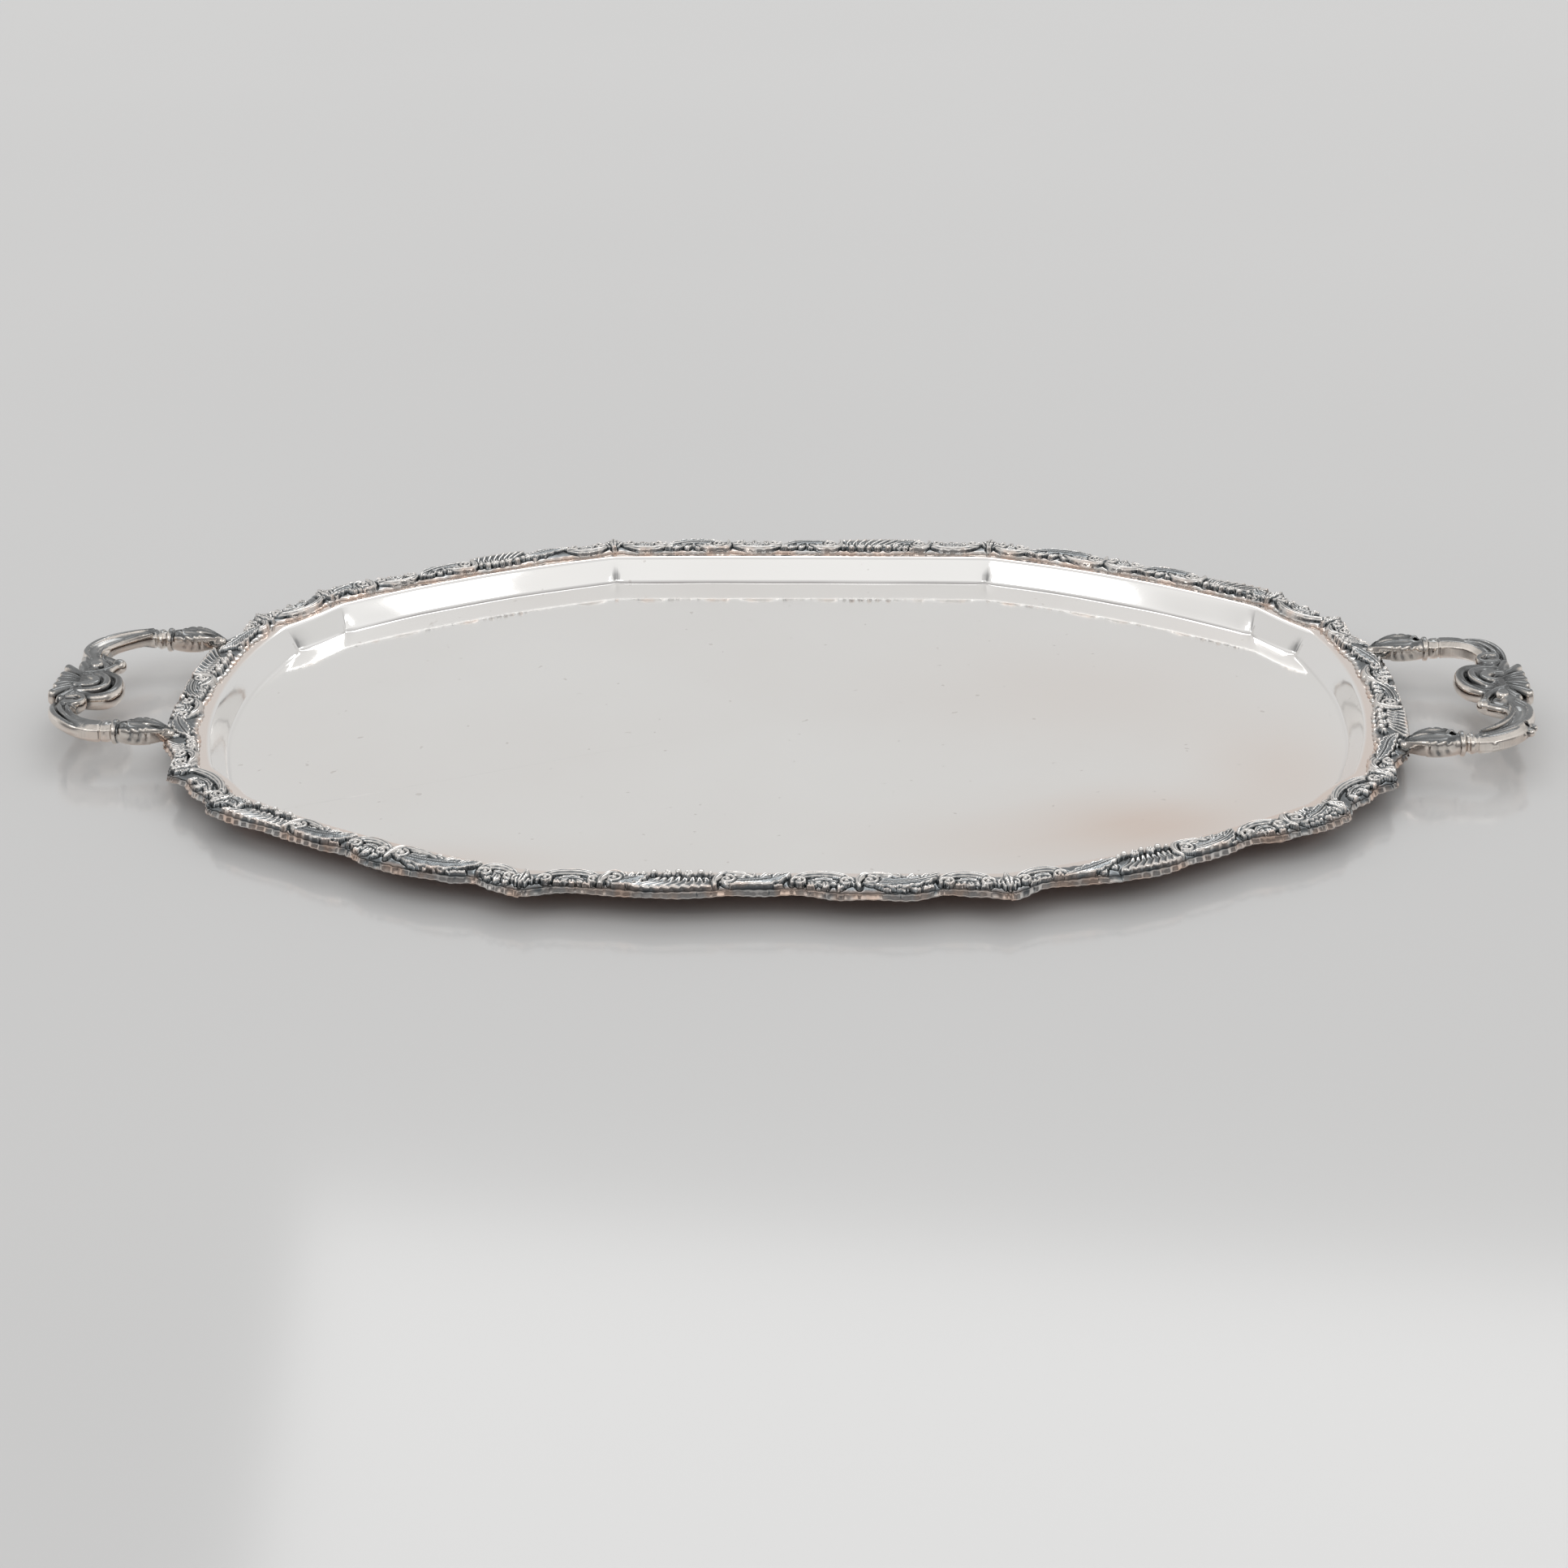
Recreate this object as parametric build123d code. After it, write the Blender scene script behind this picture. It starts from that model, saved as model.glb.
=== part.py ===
from build123d import *
import os
from math import asin, atan2, cos, hypot, pi, radians, sin

# Two-handled oval serving tray in silver-plated metal, used on a dresser for scent bottles.
# The body is one sheet, pressed to a flat well with a fluted wall and a narrow flange. Twelve cast
# scroll mounts are soldered round the flange, one to each panel of the wall, and each of the two
# handles is a cast bow whose tenons are soldered into two cast shoulders that grip the rim.
#
# Frame: origin at the middle of the base, on the surface the tray stands on. +X runs along the tray
# to the right handle, +Y to the back, +Z up. Half a turn about Z maps the tray onto itself.
# All sizes are in millimetres.

# ---- Tray outline, over the mounts ----
TRAY_LENGTH = 572.0  # between the outsides of the two end mounts
TRAY_WIDTH = 398.0  # between the creases of the front and back centre panels
CENTRE_PANEL = 200.0  # length of the front and back centre panels
END_PANEL = 184.0  # length of the two end panels
CORNER_RUN = 25.0  # how far a corner panel steps in along X
CORNER_RISE = 33.0  # and along Y
CENTRE_BULGE = 1.0  # how far each kind of panel bows out of its chord
SIDE_BULGE = 7.0
CORNER_BULGE = -1.5
END_BULGE = 16.0

# ---- Sheet body ----
RIM_HEIGHT = 13.0  # top of the flange above the table
SHEET = 1.1  # thickness of the pressed sheet
FLANGE_STRIP = 2.5  # bare flange between a mount and the wall
WALL_RUN = 10.5  # width of the wall in plan
WALL_TOP_RADIUS = 2.5  # bends of the sheet's upper face into the wall and out of it
WALL_FOOT_RADIUS = 3.5
BEND_STEPS = 4  # flats that each bend is made of
CREASE_DRAW = 4.5  # at the floor a corner panel's two creases have each drawn this much nearer

# ---- Cast mounts ----
MOUNT_WIDTH = 17.0
MOUNT_CREST = 4.0  # highest line of the casting above the flange
MOUNT_EDGE = 1.0  # thickness of the casting at its inner edge
SKIRT_DROP = 2.6  # the skirt hangs this far below the flange top
SKIRT_WALL = 2.0
SHEET_EDGE_CLEARANCE = 0.3  # between the skirt and the edge of the sheet
STATIONS = 25  # sections that one mount is lofted through

# ---- Handles ----
BACK_ARM = 51.0  # on the right handle, from the tray's long centre line back to one arm's centre line
FRONT_ARM = 57.0  # and forward to the other's
HANDLE_REACH = 44.5  # from the outside of the end mount to the centre line of the grip
HANDLE_TILT = 3.0  # degrees by which a handle rises outwards
HANDLE_LIFT = 3.4  # the arms' centre line above the flange top, at the shoulders' outer ends
SHOULDER_LENGTH = 17.0  # from the outside of the end mount to the shoulder's mouth
SHOULDER_LAP = 10.0  # the shoulder lies over the rim for this length
SHOULDER_WIDTH = 14.0
SHOULDER_HEIGHT = 11.6
SHOULDER_TAPER = 0.6  # its section where it ends on the rim, as a share of the middle's
MOUTH_TAPER = 0.84  # and at its mouth
GRIP_WIDTH = 11.0  # section of the bow, across and up
GRIP_HEIGHT = 9.6
GRIP_BEND = 18.0  # radius of the bow's two bends, on its centre line
NECK_GAP = 1.4  # bare neck between a shoulder's mouth and the bow's end bead
BEAD_LENGTH = 3.6
BEAD_RADIUS = 5.8
BEAD_ROUNDING = 1.1
TENON_RADIUS = 3.0
TENON_LENGTH = 9.0
TENON_CLEARANCE = 0.05  # radial solder gap round a tenon
TENON_END_GAP = 1.0

# ---- Scroll work in the middle of each grip ----
SCROLL_RING_RADIUS = 11.0
SCROLL_RING_BAR = 4.8
SCROLL_INSET = 6.0  # centre of the large scroll, inside the grip's centre line
SCROLL_OFFSET = 5.0  # and towards the back on the right handle
SCROLL_WEB = 6.0  # thickness of the web that fills the scroll
CURL_RING_RADIUS = 4.6
CURL_BAR = 3.6
CURL_INSET = 7.0
CURL_OFFSET = -19.0
SHELL_RIBS = 9
SHELL_RIB_RADIUS = 2.7
SHELL_RIB_REACH = 8.8  # from the grip's centre line to the end of the middle rib's straight part
SHELL_FALL = 2.6  # how much less the outermost ribs reach
SHELL_ROOT = 9.0  # between the roots of the middle rib and an outermost one
SHELL_SPREAD = 44.0  # degrees by which an outermost rib turns outwards
SPUR_LENGTH = 5.5
SPUR_RADIUS = 2.6
SPUR_TIP_RADIUS = 0.7

# Where the arms meet the right end mount, as fractions of the way round its panel
FRONT_ARM_SHARE = 0.5 - FRONT_ARM / END_PANEL
BACK_ARM_SHARE = 0.5 + BACK_ARM / END_PANEL

# Scalloped outer edge of each kind of mount: (fraction of the way round the panel, inset there).
# The panels are walked with the tray's middle on the left.
SCALLOPS = {
    "centre": [(0, 0.6), (0.07, 4.4), (0.17, 3.0), (0.28, 0.4), (0.38, 1.8), (0.46, 3.6),
               (0.56, 3.9), (0.68, 0.2), (0.8, 0.4), (0.88, 4.6), (0.94, 3.8), (1, 0.6)],
    "leaving": [(0, 0.6), (0.1, 5.6), (0.2, 4.2), (0.3, 0.4), (0.43, 0.2), (0.53, 3.0),
                (0.62, 3.8), (0.71, 6.0), (0.8, 1.8), (0.9, 0.2), (1, 0.6)],
    "arriving": [(0, 0.6), (0.1, 1.4), (0.25, 3.4), (0.38, 2.6), (0.46, 4.6), (0.56, 0.2),
                 (0.7, 0.2), (0.79, 2.0), (0.86, 4.6), (0.93, 1.4), (1, 0.6)],
    "corner": [(0, 0.6), (0.25, 3.2), (0.5, 1.6), (0.75, 3.2), (1, 0.6)],
    "end": [(0, 0.6), (0.09, 4.6), (FRONT_ARM_SHARE, 0), (0.36, 1.2), (0.5, 2.4), (0.64, 1.2),
            (BACK_ARM_SHARE, 0), (0.91, 4.6), (1, 0.6)],
}

# ---- Sizes that follow ----
DEEPEST_SCALLOP = max(inset for knots in SCALLOPS.values() for share, inset in knots)
SHEET_EDGE_INSET = DEEPEST_SCALLOP + SKIRT_WALL + SHEET_EDGE_CLEARANCE
WALL_TOP_INSET = MOUNT_WIDTH + FLANGE_STRIP
FLOOR_INSET = WALL_TOP_INSET + WALL_RUN
CORNER_X = TRAY_LENGTH / 2 - END_BULGE
GRIP_AXIS_Z = RIM_HEIGHT + HANDLE_LIFT
MOUTH_X = TRAY_LENGTH / 2 + SHOULDER_LENGTH


def plan(x, y):
    return Vector(x, y, 0)


# The outline's corners in order, seen from above and anticlockwise from the right end's front
# corner, each with the name and kind of the panel that starts there.
FRONT_TO_BACK = [
    (CORNER_X, -END_PANEL / 2, "right_end", "end", END_BULGE),
    (CORNER_X, END_PANEL / 2, "back_right_corner", "corner", CORNER_BULGE),
    (CORNER_X - CORNER_RUN, END_PANEL / 2 + CORNER_RISE, "back_right", "arriving", SIDE_BULGE),
    (CENTRE_PANEL / 2, TRAY_WIDTH / 2, "back_centre", "centre", CENTRE_BULGE),
    (-CENTRE_PANEL / 2, TRAY_WIDTH / 2, "back_left", "leaving", SIDE_BULGE),
    (CORNER_RUN - CORNER_X, END_PANEL / 2 + CORNER_RISE, "back_left_corner", "corner", CORNER_BULGE),
]
OPPOSITE = {"right_end": "left_end", "back_right_corner": "front_left_corner",
            "back_right": "front_left", "back_centre": "front_centre",
            "back_left": "front_right", "back_left_corner": "front_right_corner"}
CORNERS = FRONT_TO_BACK + [(-x, -y, OPPOSITE[name], kind, bulge)
                           for x, y, name, kind, bulge in FRONT_TO_BACK]


class Panel:
    """One arc of the outline, from its start corner to its end corner."""

    def __init__(self, index):
        x, y, self.name, self.kind, self.bulge = CORNERS[index]
        next_x, next_y = CORNERS[(index + 1) % len(CORNERS)][:2]
        self.start = plan(x, y)
        self.end = plan(next_x, next_y)
        chord = self.end - self.start
        self.along = chord.normalized()
        self.out = plan(self.along.Y, -self.along.X)
        self.mid = (self.start + self.end) * 0.5 + self.out * self.bulge
        radius = (chord.length**2 / 4 + self.bulge**2) / (2 * self.bulge)
        self.half_angle = asin(chord.length / 2 / radius)

    def normal(self, at_end):
        """Outward normal of the arc at one of its ends."""
        side = 1 if at_end else -1
        return self.out * cos(self.half_angle) + self.along * (side * sin(self.half_angle))


PANELS = [Panel(i) for i in range(len(CORNERS))]


def mitre(index):
    """The move of corner number index for each millimetre of inset."""
    before = PANELS[(index - 1) % len(PANELS)].normal(at_end=True)
    after = PANELS[index % len(PANELS)].normal(at_end=False)
    return (before + after) * (-1 / (1 + before.dot(after)))


def corner_point(index, inset):
    """Corner number index, moved in by inset. Down the wall a corner panel's creases draw together."""
    panel = PANELS[index % len(PANELS)]
    previous = PANELS[(index - 1) % len(PANELS)]
    draw = CREASE_DRAW * max(0, inset - WALL_TOP_INSET) / WALL_RUN
    point = panel.start + mitre(index) * inset
    if panel.kind == "corner":
        point += panel.along * draw
    if previous.kind == "corner":
        point -= previous.along * draw
    return point


def inset_arc(index, inset):
    """Start, middle and end of panel number index, moved in by inset."""
    panel = PANELS[index]
    return corner_point(index, inset), panel.mid - panel.out * inset, corner_point(index + 1, inset)


def arc_point(index, share, inset):
    """The point a share of the way round panel number index, moved in by inset."""
    start, mid, end = inset_arc(index, inset)
    chord = end - start
    along = chord.normalized()
    out = plan(along.Y, -along.X)
    rise = (mid - (start + end) * 0.5).dot(out)
    radius = (chord.length**2 / 4 + rise**2) / (2 * rise)
    centre = (start + end) * 0.5 + out * (rise - radius)
    angle = (2 * share - 1) * asin(chord.length / 2 / radius)
    return centre + out * (radius * cos(angle)) + along * (radius * sin(angle))


def outline(inset, z):
    """The closed outline, moved in by inset, at height z."""
    lift = Vector(0, 0, z)
    arcs = [inset_arc(i, inset) for i in range(len(PANELS))]
    return Wire([ThreePointArc(a + lift, b + lift, c + lift) for a, b, c in arcs])


def wall_levels(depth):
    """Inset and height of each level of the wall, from the floor up, at a depth below the sheet's face."""
    rise = RIM_HEIGHT - SHEET
    bends = WALL_TOP_RADIUS + WALL_FOOT_RADIUS
    slope = atan2(rise - bends, WALL_RUN) + asin(bends / hypot(WALL_RUN, rise - bends))
    foot = WALL_FOOT_RADIUS + depth
    top = WALL_TOP_RADIUS - depth
    turns = [slope * i / BEND_STEPS for i in range(BEND_STEPS + 1)]
    levels = []
    for turn in turns:
        levels.append((FLOOR_INSET - foot * sin(turn), SHEET + WALL_FOOT_RADIUS - foot * cos(turn)))
    for turn in reversed(turns):
        levels.append((WALL_TOP_INSET + top * sin(turn), RIM_HEIGHT - WALL_TOP_RADIUS + top * cos(turn)))
    return levels


def tray_body():
    """Flat well, sloping wall with twelve creases, and the flange that carries the mounts."""
    under = Solid.make_loft([outline(inset, z) for inset, z in wall_levels(SHEET)], ruled=True)
    well = Solid.make_loft([outline(inset, z) for inset, z in wall_levels(0)], ruled=True)
    flange_plate = extrude(Face(outline(SHEET_EDGE_INSET, RIM_HEIGHT - SHEET)), SHEET, dir=(0, 0, 1))
    return flange_plate + under - well


def between(knots, share):
    """Smooth value between the knots that hold share."""
    for (low, value), (high, next_value) in zip(knots, knots[1:]):
        if share <= high:
            blend = (1 - cos(pi * (share - low) / (high - low))) / 2
            return value + (next_value - value) * blend
    return knots[-1][1]


def mount_section(index, share):
    """Closed section of a mount: a skirt outside the sheet's edge and a dome over the flange."""
    edge = between(SCALLOPS[PANELS[index].kind], share)

    def at(inset, above):
        return arc_point(index, share, inset) + Vector(0, 0, RIM_HEIGHT + above)

    skirt_foot = at(edge, -SKIRT_DROP)
    shoulder = at(edge, MOUNT_EDGE)
    crest = at((edge + MOUNT_WIDTH) / 2, MOUNT_CREST)
    inner_top = at(MOUNT_WIDTH, MOUNT_EDGE)
    inner_foot = at(MOUNT_WIDTH, 0)
    skirt_root = at(edge + SKIRT_WALL, 0)
    skirt_inner = at(edge + SKIRT_WALL, -SKIRT_DROP)
    return Wire([
        Line(skirt_foot, shoulder),
        ThreePointArc(shoulder, crest, inner_top),
        Line(inner_top, inner_foot),
        Line(inner_foot, skirt_root),
        Line(skirt_root, skirt_inner),
        Line(skirt_inner, skirt_foot),
    ])


def cast_mount(index):
    """One cast border mount, mitred against its neighbours at the outline's corners."""
    shares = [i / (STATIONS - 1) for i in range(STATIONS)]
    return Solid.make_loft([mount_section(index, s) for s in shares])


# ---- Handles, built for the right end in a frame of their own ----
# Its origin lies between the two shoulders' mouths, with x out along the tilted grip, y along
# the tray's Y and z square to both.
HANDLE_FRAME = Plane(
    origin=(MOUTH_X, 0, GRIP_AXIS_Z),
    x_dir=(cos(radians(HANDLE_TILT)), 0, sin(radians(HANDLE_TILT))),
    z_dir=(-sin(radians(HANDLE_TILT)), 0, cos(radians(HANDLE_TILT))),
)
GRIP_X = HANDLE_REACH - SHOULDER_LENGTH  # centre line of the grip in the handle's frame
ARM_Y = {"back": BACK_ARM, "front": -FRONT_ARM}


def rod(start, way, radius, length):
    """A round rod from start, in the direction way."""
    return extrude(Plane(origin=start, z_dir=way) * Circle(radius), length)


def shoulder_blank(arm):
    """Socket in the handle's frame, with a bore for the tenon. The rim isn't cut out of it yet."""
    stations = [
        (-SHOULDER_LENGTH - SHOULDER_LAP, SHOULDER_TAPER),
        (-SHOULDER_LENGTH, (1 + SHOULDER_TAPER) / 2),
        (-SHOULDER_LENGTH / 2, 1),
        (-SHOULDER_LENGTH / 8, (1 + MOUTH_TAPER) / 2),
        (0, MOUTH_TAPER),
    ]
    sections = []
    for x, scale in stations:
        face = Plane(origin=(x, ARM_Y[arm], 0), z_dir=(1, 0, 0), x_dir=(0, 1, 0))
        sections.append((face * Ellipse(SHOULDER_WIDTH / 2 * scale, SHOULDER_HEIGHT / 2 * scale)).wire())
    bore_length = TENON_LENGTH + TENON_END_GAP
    bore = rod((-bore_length, ARM_Y[arm], 0), (1, 0, 0), TENON_RADIUS + TENON_CLEARANCE, bore_length)
    return Solid.make_loft(sections) - bore


def bow_bar():
    """The bow's bar: two arms and a grip in one sweep."""
    start = NECK_GAP + BEAD_LENGTH / 2
    back, front = ARM_Y["back"], ARM_Y["front"]
    points = [(start, back), (GRIP_X, back), (GRIP_X, front), (start, front)]
    path = FilletPolyline(*points, radius=GRIP_BEND)
    face = Plane(origin=(start, back, 0), z_dir=(1, 0, 0), x_dir=(0, 1, 0))
    return sweep(face * Ellipse(GRIP_WIDTH / 2, GRIP_HEIGHT / 2), path=path)


def arm_end(arm):
    """End bead of the bow with the neck and tenon that go into the shoulder."""
    bead = rod((NECK_GAP, ARM_Y[arm], 0), (1, 0, 0), BEAD_RADIUS, BEAD_LENGTH)
    bead = fillet(bead.edges(), BEAD_ROUNDING)
    tenon = rod((-TENON_LENGTH, ARM_Y[arm], 0), (1, 0, 0), TENON_RADIUS,
                TENON_LENGTH + NECK_GAP + BEAD_LENGTH / 2)
    return bead + tenon


def grip_scrolls():
    """Scroll work on the grip: a large webbed scroll that stands inwards, and a small curl beside it."""
    scroll = Pos(GRIP_X - SCROLL_INSET, SCROLL_OFFSET, 0)
    large = scroll * (Torus(SCROLL_RING_RADIUS, SCROLL_RING_BAR) + Cylinder(SCROLL_RING_RADIUS, SCROLL_WEB))
    curl = Pos(GRIP_X - CURL_INSET, CURL_OFFSET, 0)
    small = curl * (Torus(CURL_RING_RADIUS, CURL_BAR) + Cylinder(CURL_RING_RADIUS, CURL_BAR))
    return large + small


def shell():
    """Fan of round-ended ribs on the outside of the grip."""
    fan = None
    for i in range(SHELL_RIBS):
        share = 2 * i / (SHELL_RIBS - 1) - 1
        turn = radians(SHELL_SPREAD * share)
        way = Vector(cos(turn), sin(turn), 0)
        root = Vector(GRIP_X, SHELL_ROOT * share, 0)
        length = SHELL_RIB_REACH - SHELL_FALL * share**2
        rib = rod(root, way, SHELL_RIB_RADIUS, length)
        rib += Pos(*(root + way * length)) * Sphere(SHELL_RIB_RADIUS)
        fan = rib if fan is None else fan + rib
    return fan


def spur(arm):
    """Pointed leaf tip on the outside of the bend into an arm."""
    side = 1 if arm == "back" else -1
    way = Vector(cos(pi / 4), side * sin(pi / 4), 0)
    bend = Vector(GRIP_X - GRIP_BEND, ARM_Y[arm] - side * GRIP_BEND, 0)
    foot = bend + way * (GRIP_BEND + GRIP_WIDTH / 4)
    cone = Cone(SPUR_RADIUS, SPUR_TIP_RADIUS, SPUR_LENGTH, align=(Align.CENTER, Align.CENTER, Align.MIN))
    return Plane(origin=foot, z_dir=way).location * cone


def handle_bow():
    """Cast bow in the handle's frame."""
    bow = bow_bar()
    for arm in ARM_Y:
        bow += arm_end(arm)
    for arm in ARM_Y:
        bow += spur(arm)
    return bow + grip_scrolls() + shell()


def save(shape, name):
    """Writes the node and says how large it came out."""
    solids = shape.solids()
    whole = solids[0] if len(solids) == 1 else Compound(solids)
    export_step(whole, f"parts/{name}.step")
    print(f"{name}: {len(solids)} solid, {whole.volume:.0f} mm3")


def main():
    os.makedirs("parts", exist_ok=True)
    half_turn = Rotation(0, 0, 180)

    body = tray_body()
    save(body, "tray_body")

    mounts = {panel.name: cast_mount(i) for i, panel in enumerate(PANELS)}
    for name, mount in mounts.items():
        save(mount, f"mount_{name}")

    place = HANDLE_FRAME.location
    under_flange = extrude(Face(outline(0, 0)), RIM_HEIGHT, dir=(0, 0, 1))
    bow = place * handle_bow()
    save(bow, "handle_bow_right")
    save(half_turn * bow, "handle_bow_left")
    for arm, opposite_arm in (("back", "front"), ("front", "back")):
        shoulder = place * shoulder_blank(arm) - under_flange - mounts["right_end"]
        save(shoulder, f"shoulder_right_{arm}")
        save(half_turn * shoulder, f"shoulder_left_{opposite_arm}")


main()
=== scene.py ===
"""Visual model of a two-handled silver-plated vanity tray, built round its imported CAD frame.

Lengths are worked out in millimetres and turned into metres when a mesh is made. The body is a sheet
swept through rings of the outline. The cast border is a relief: forms such as scrolls, leaves, shells
and buds are laid over each other on a grid of (along the panel, in from the edge). The handles are
solids blended from strokes in a distance field and skinned with a surface net.
"""
import math

import bpy
import numpy as np
from mathutils import Matrix, Vector


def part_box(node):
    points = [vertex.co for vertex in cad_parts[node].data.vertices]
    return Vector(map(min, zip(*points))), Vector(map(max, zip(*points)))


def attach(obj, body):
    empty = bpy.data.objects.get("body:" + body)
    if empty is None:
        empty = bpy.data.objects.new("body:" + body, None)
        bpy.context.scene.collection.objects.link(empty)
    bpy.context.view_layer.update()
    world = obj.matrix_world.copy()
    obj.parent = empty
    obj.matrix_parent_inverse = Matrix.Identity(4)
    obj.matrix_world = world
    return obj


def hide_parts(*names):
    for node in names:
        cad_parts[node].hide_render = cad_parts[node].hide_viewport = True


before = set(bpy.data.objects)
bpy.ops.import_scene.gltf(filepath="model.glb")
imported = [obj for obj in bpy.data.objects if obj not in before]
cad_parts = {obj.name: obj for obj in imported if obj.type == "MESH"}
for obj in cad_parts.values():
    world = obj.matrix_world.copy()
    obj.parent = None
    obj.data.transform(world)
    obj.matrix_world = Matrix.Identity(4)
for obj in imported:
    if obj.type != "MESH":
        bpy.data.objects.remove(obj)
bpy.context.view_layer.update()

MM = 0.001
TAU = 2 * math.pi

# ---- Sizes taken from the frame, in millimetres ----
body_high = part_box("tray_body")[1] / MM
mouth_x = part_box("shoulder_right_back")[1].x / MM

# ---- Plan of the tray, as the CAD source has it ----
SHEET = 1.1
SHEET_EDGE_INSET = 8.3
MOUNT_WIDTH = 17.0
FLANGE_STRIP = 2.5
WALL_RUN = 10.5
WALL_TOP_RADIUS = 2.5
WALL_FOOT_RADIUS = 3.5
CREASE_DRAW = 4.5
CENTRE_PANEL = 200.0
END_PANEL = 184.0
CORNER_RUN = 25.0
CORNER_RISE = 33.0
CENTRE_BULGE = 1.0
SIDE_BULGE = 7.0
CORNER_BULGE = -1.5
END_BULGE = 16.0
RIM_HEIGHT = body_high.z
HALF_LENGTH = body_high.x + SHEET_EDGE_INSET
HALF_WIDTH = body_high.y + SHEET_EDGE_INSET - CENTRE_BULGE
WALL_TOP_INSET = MOUNT_WIDTH + FLANGE_STRIP
FLOOR_INSET = WALL_TOP_INSET + WALL_RUN
CORNER_X = HALF_LENGTH - END_BULGE


# ======== Camera, light and floor ========
CAMERA_AZIMUTH = 2.95  # these three in degrees
CAMERA_ELEVATION = 25.48
CAMERA_ROLL = -0.95
CAMERA_DISTANCE = 1300.2
CAMERA_TARGET = Vector((2.1, -68.0, 0))
CAMERA_LENS = 66.95
SENSOR = 36.0
BUMP_DISTANCE = 0.0001  # in metres
# Soft boxes: name, place, point faced, size, watts and colour. Lengths are in metres.
SOFT_BOXES = [
    ("softbox_back", (0.2, 2.6, 2.9), (0, 0, 0), (2.6, 1.4), 21, (1, 1, 0.995)),
    ("softbox_front_left", (-1.5, -1.5, 1.9), (0, 0.1, 0), (0.7, 0.6), 2.4, (0.985, 0.993, 1)),
    ("softbox_front_right", (1.7, -1.3, 1.8), (0, 0.1, 0), (0.6, 0.5), 1.8, (1, 0.99, 0.975)),
]


def make_camera():
    """Camera at the photograph's viewing angle."""
    azimuth, elevation, roll = map(math.radians, (CAMERA_AZIMUTH, CAMERA_ELEVATION, CAMERA_ROLL))
    back = Vector((math.sin(azimuth) * math.cos(elevation), -math.cos(azimuth) * math.cos(elevation),
                   math.sin(elevation)))
    right = Vector((math.cos(azimuth), math.sin(azimuth), 0))
    up = back.cross(right)
    right_rolled = math.cos(roll) * right + math.sin(roll) * up
    up_rolled = math.cos(roll) * up - math.sin(roll) * right
    data = bpy.data.cameras.new("camera")
    data.lens = CAMERA_LENS
    data.sensor_width = SENSOR
    data.clip_start = 0.05
    data.clip_end = 50
    camera = bpy.data.objects.new("camera", data)
    axes = Matrix((right_rolled, up_rolled, back)).transposed().to_4x4()
    place = (CAMERA_TARGET + back * CAMERA_DISTANCE) * MM
    camera.matrix_world = Matrix.Translation(place) @ axes
    bpy.context.scene.collection.objects.link(camera)
    bpy.context.scene.camera = camera


class Nodes:
    """A node tree with short calls for adding and linking nodes."""

    def __init__(self, tree):
        self.tree = tree
        tree.nodes.clear()

    def add(self, kind, inputs=None, **settings):
        """Adds a node. Each input is a value, or the socket to link to it."""
        node = self.tree.nodes.new(kind)
        for name, value in settings.items():
            setattr(node, name, value)
        for name, value in (inputs or {}).items():
            if isinstance(value, bpy.types.NodeSocket):
                self.tree.links.new(value, node.inputs[name])
            else:
                node.inputs[name].default_value = value
        return node

    def math(self, operation, a, b=0.0, clamp=False):
        return self.add("ShaderNodeMath", {0: a, 1: b}, operation=operation, use_clamp=clamp).outputs[0]

    def ramp(self, value, stops):
        """Colour ramp through (place, colour) stops, where a colour is one grey value or three."""
        node = self.add("ShaderNodeValToRGB", {"Fac": value})
        elements = node.color_ramp.elements
        while len(elements) < len(stops):
            elements.new(0.5)
        for element, (place, colour) in zip(elements, stops):
            element.position = place
            element.color = (*colour, 1) if isinstance(colour, tuple) else (colour, colour, colour, 1)
        return node.outputs["Color"]

    def mix(self, share, a, b):
        node = self.add("ShaderNodeMix", data_type="RGBA")
        for socket, value in ((node.inputs[0], share), (node.inputs[6], a), (node.inputs[7], b)):
            if isinstance(value, bpy.types.NodeSocket):
                self.tree.links.new(value, socket)
            else:
                socket.default_value = (*value, 1) if isinstance(value, tuple) else value
        return node.outputs[2]

    def noise(self, vector, scale, detail):
        inputs = {"Vector": vector, "Scale": scale, "Detail": detail}
        return self.add("ShaderNodeTexNoise", inputs).outputs["Fac"]

    def times(self, a, b):
        return self.math("MULTIPLY", a, b)

    def plus(self, a, b):
        return self.math("ADD", a, b)

    def attribute(self, name):
        return self.add("ShaderNodeAttribute", attribute_name=name).outputs["Fac"]

    def surface(self, **inputs):
        """Principled shader with these inputs, where Base_Color stands for Base Color, as the surface."""
        named = {name.replace("_", " "): value for name, value in inputs.items()}
        shader = self.add("ShaderNodeBsdfPrincipled", named)
        self.add("ShaderNodeOutputMaterial", {"Surface": shader.outputs[0]})

    def fine_bump(self, height, strength):
        return self.add("ShaderNodeBump", {"Height": height, "Strength": strength,
                                           "Distance": BUMP_DISTANCE}).outputs[0]


def new_material(name):
    """An empty material, its nodes, and the object coordinates in them."""
    material = bpy.data.materials.new(name)
    material.use_nodes = True
    nodes = Nodes(material.node_tree)
    return material, nodes, nodes.add("ShaderNodeTexCoord").outputs["Object"]


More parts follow.
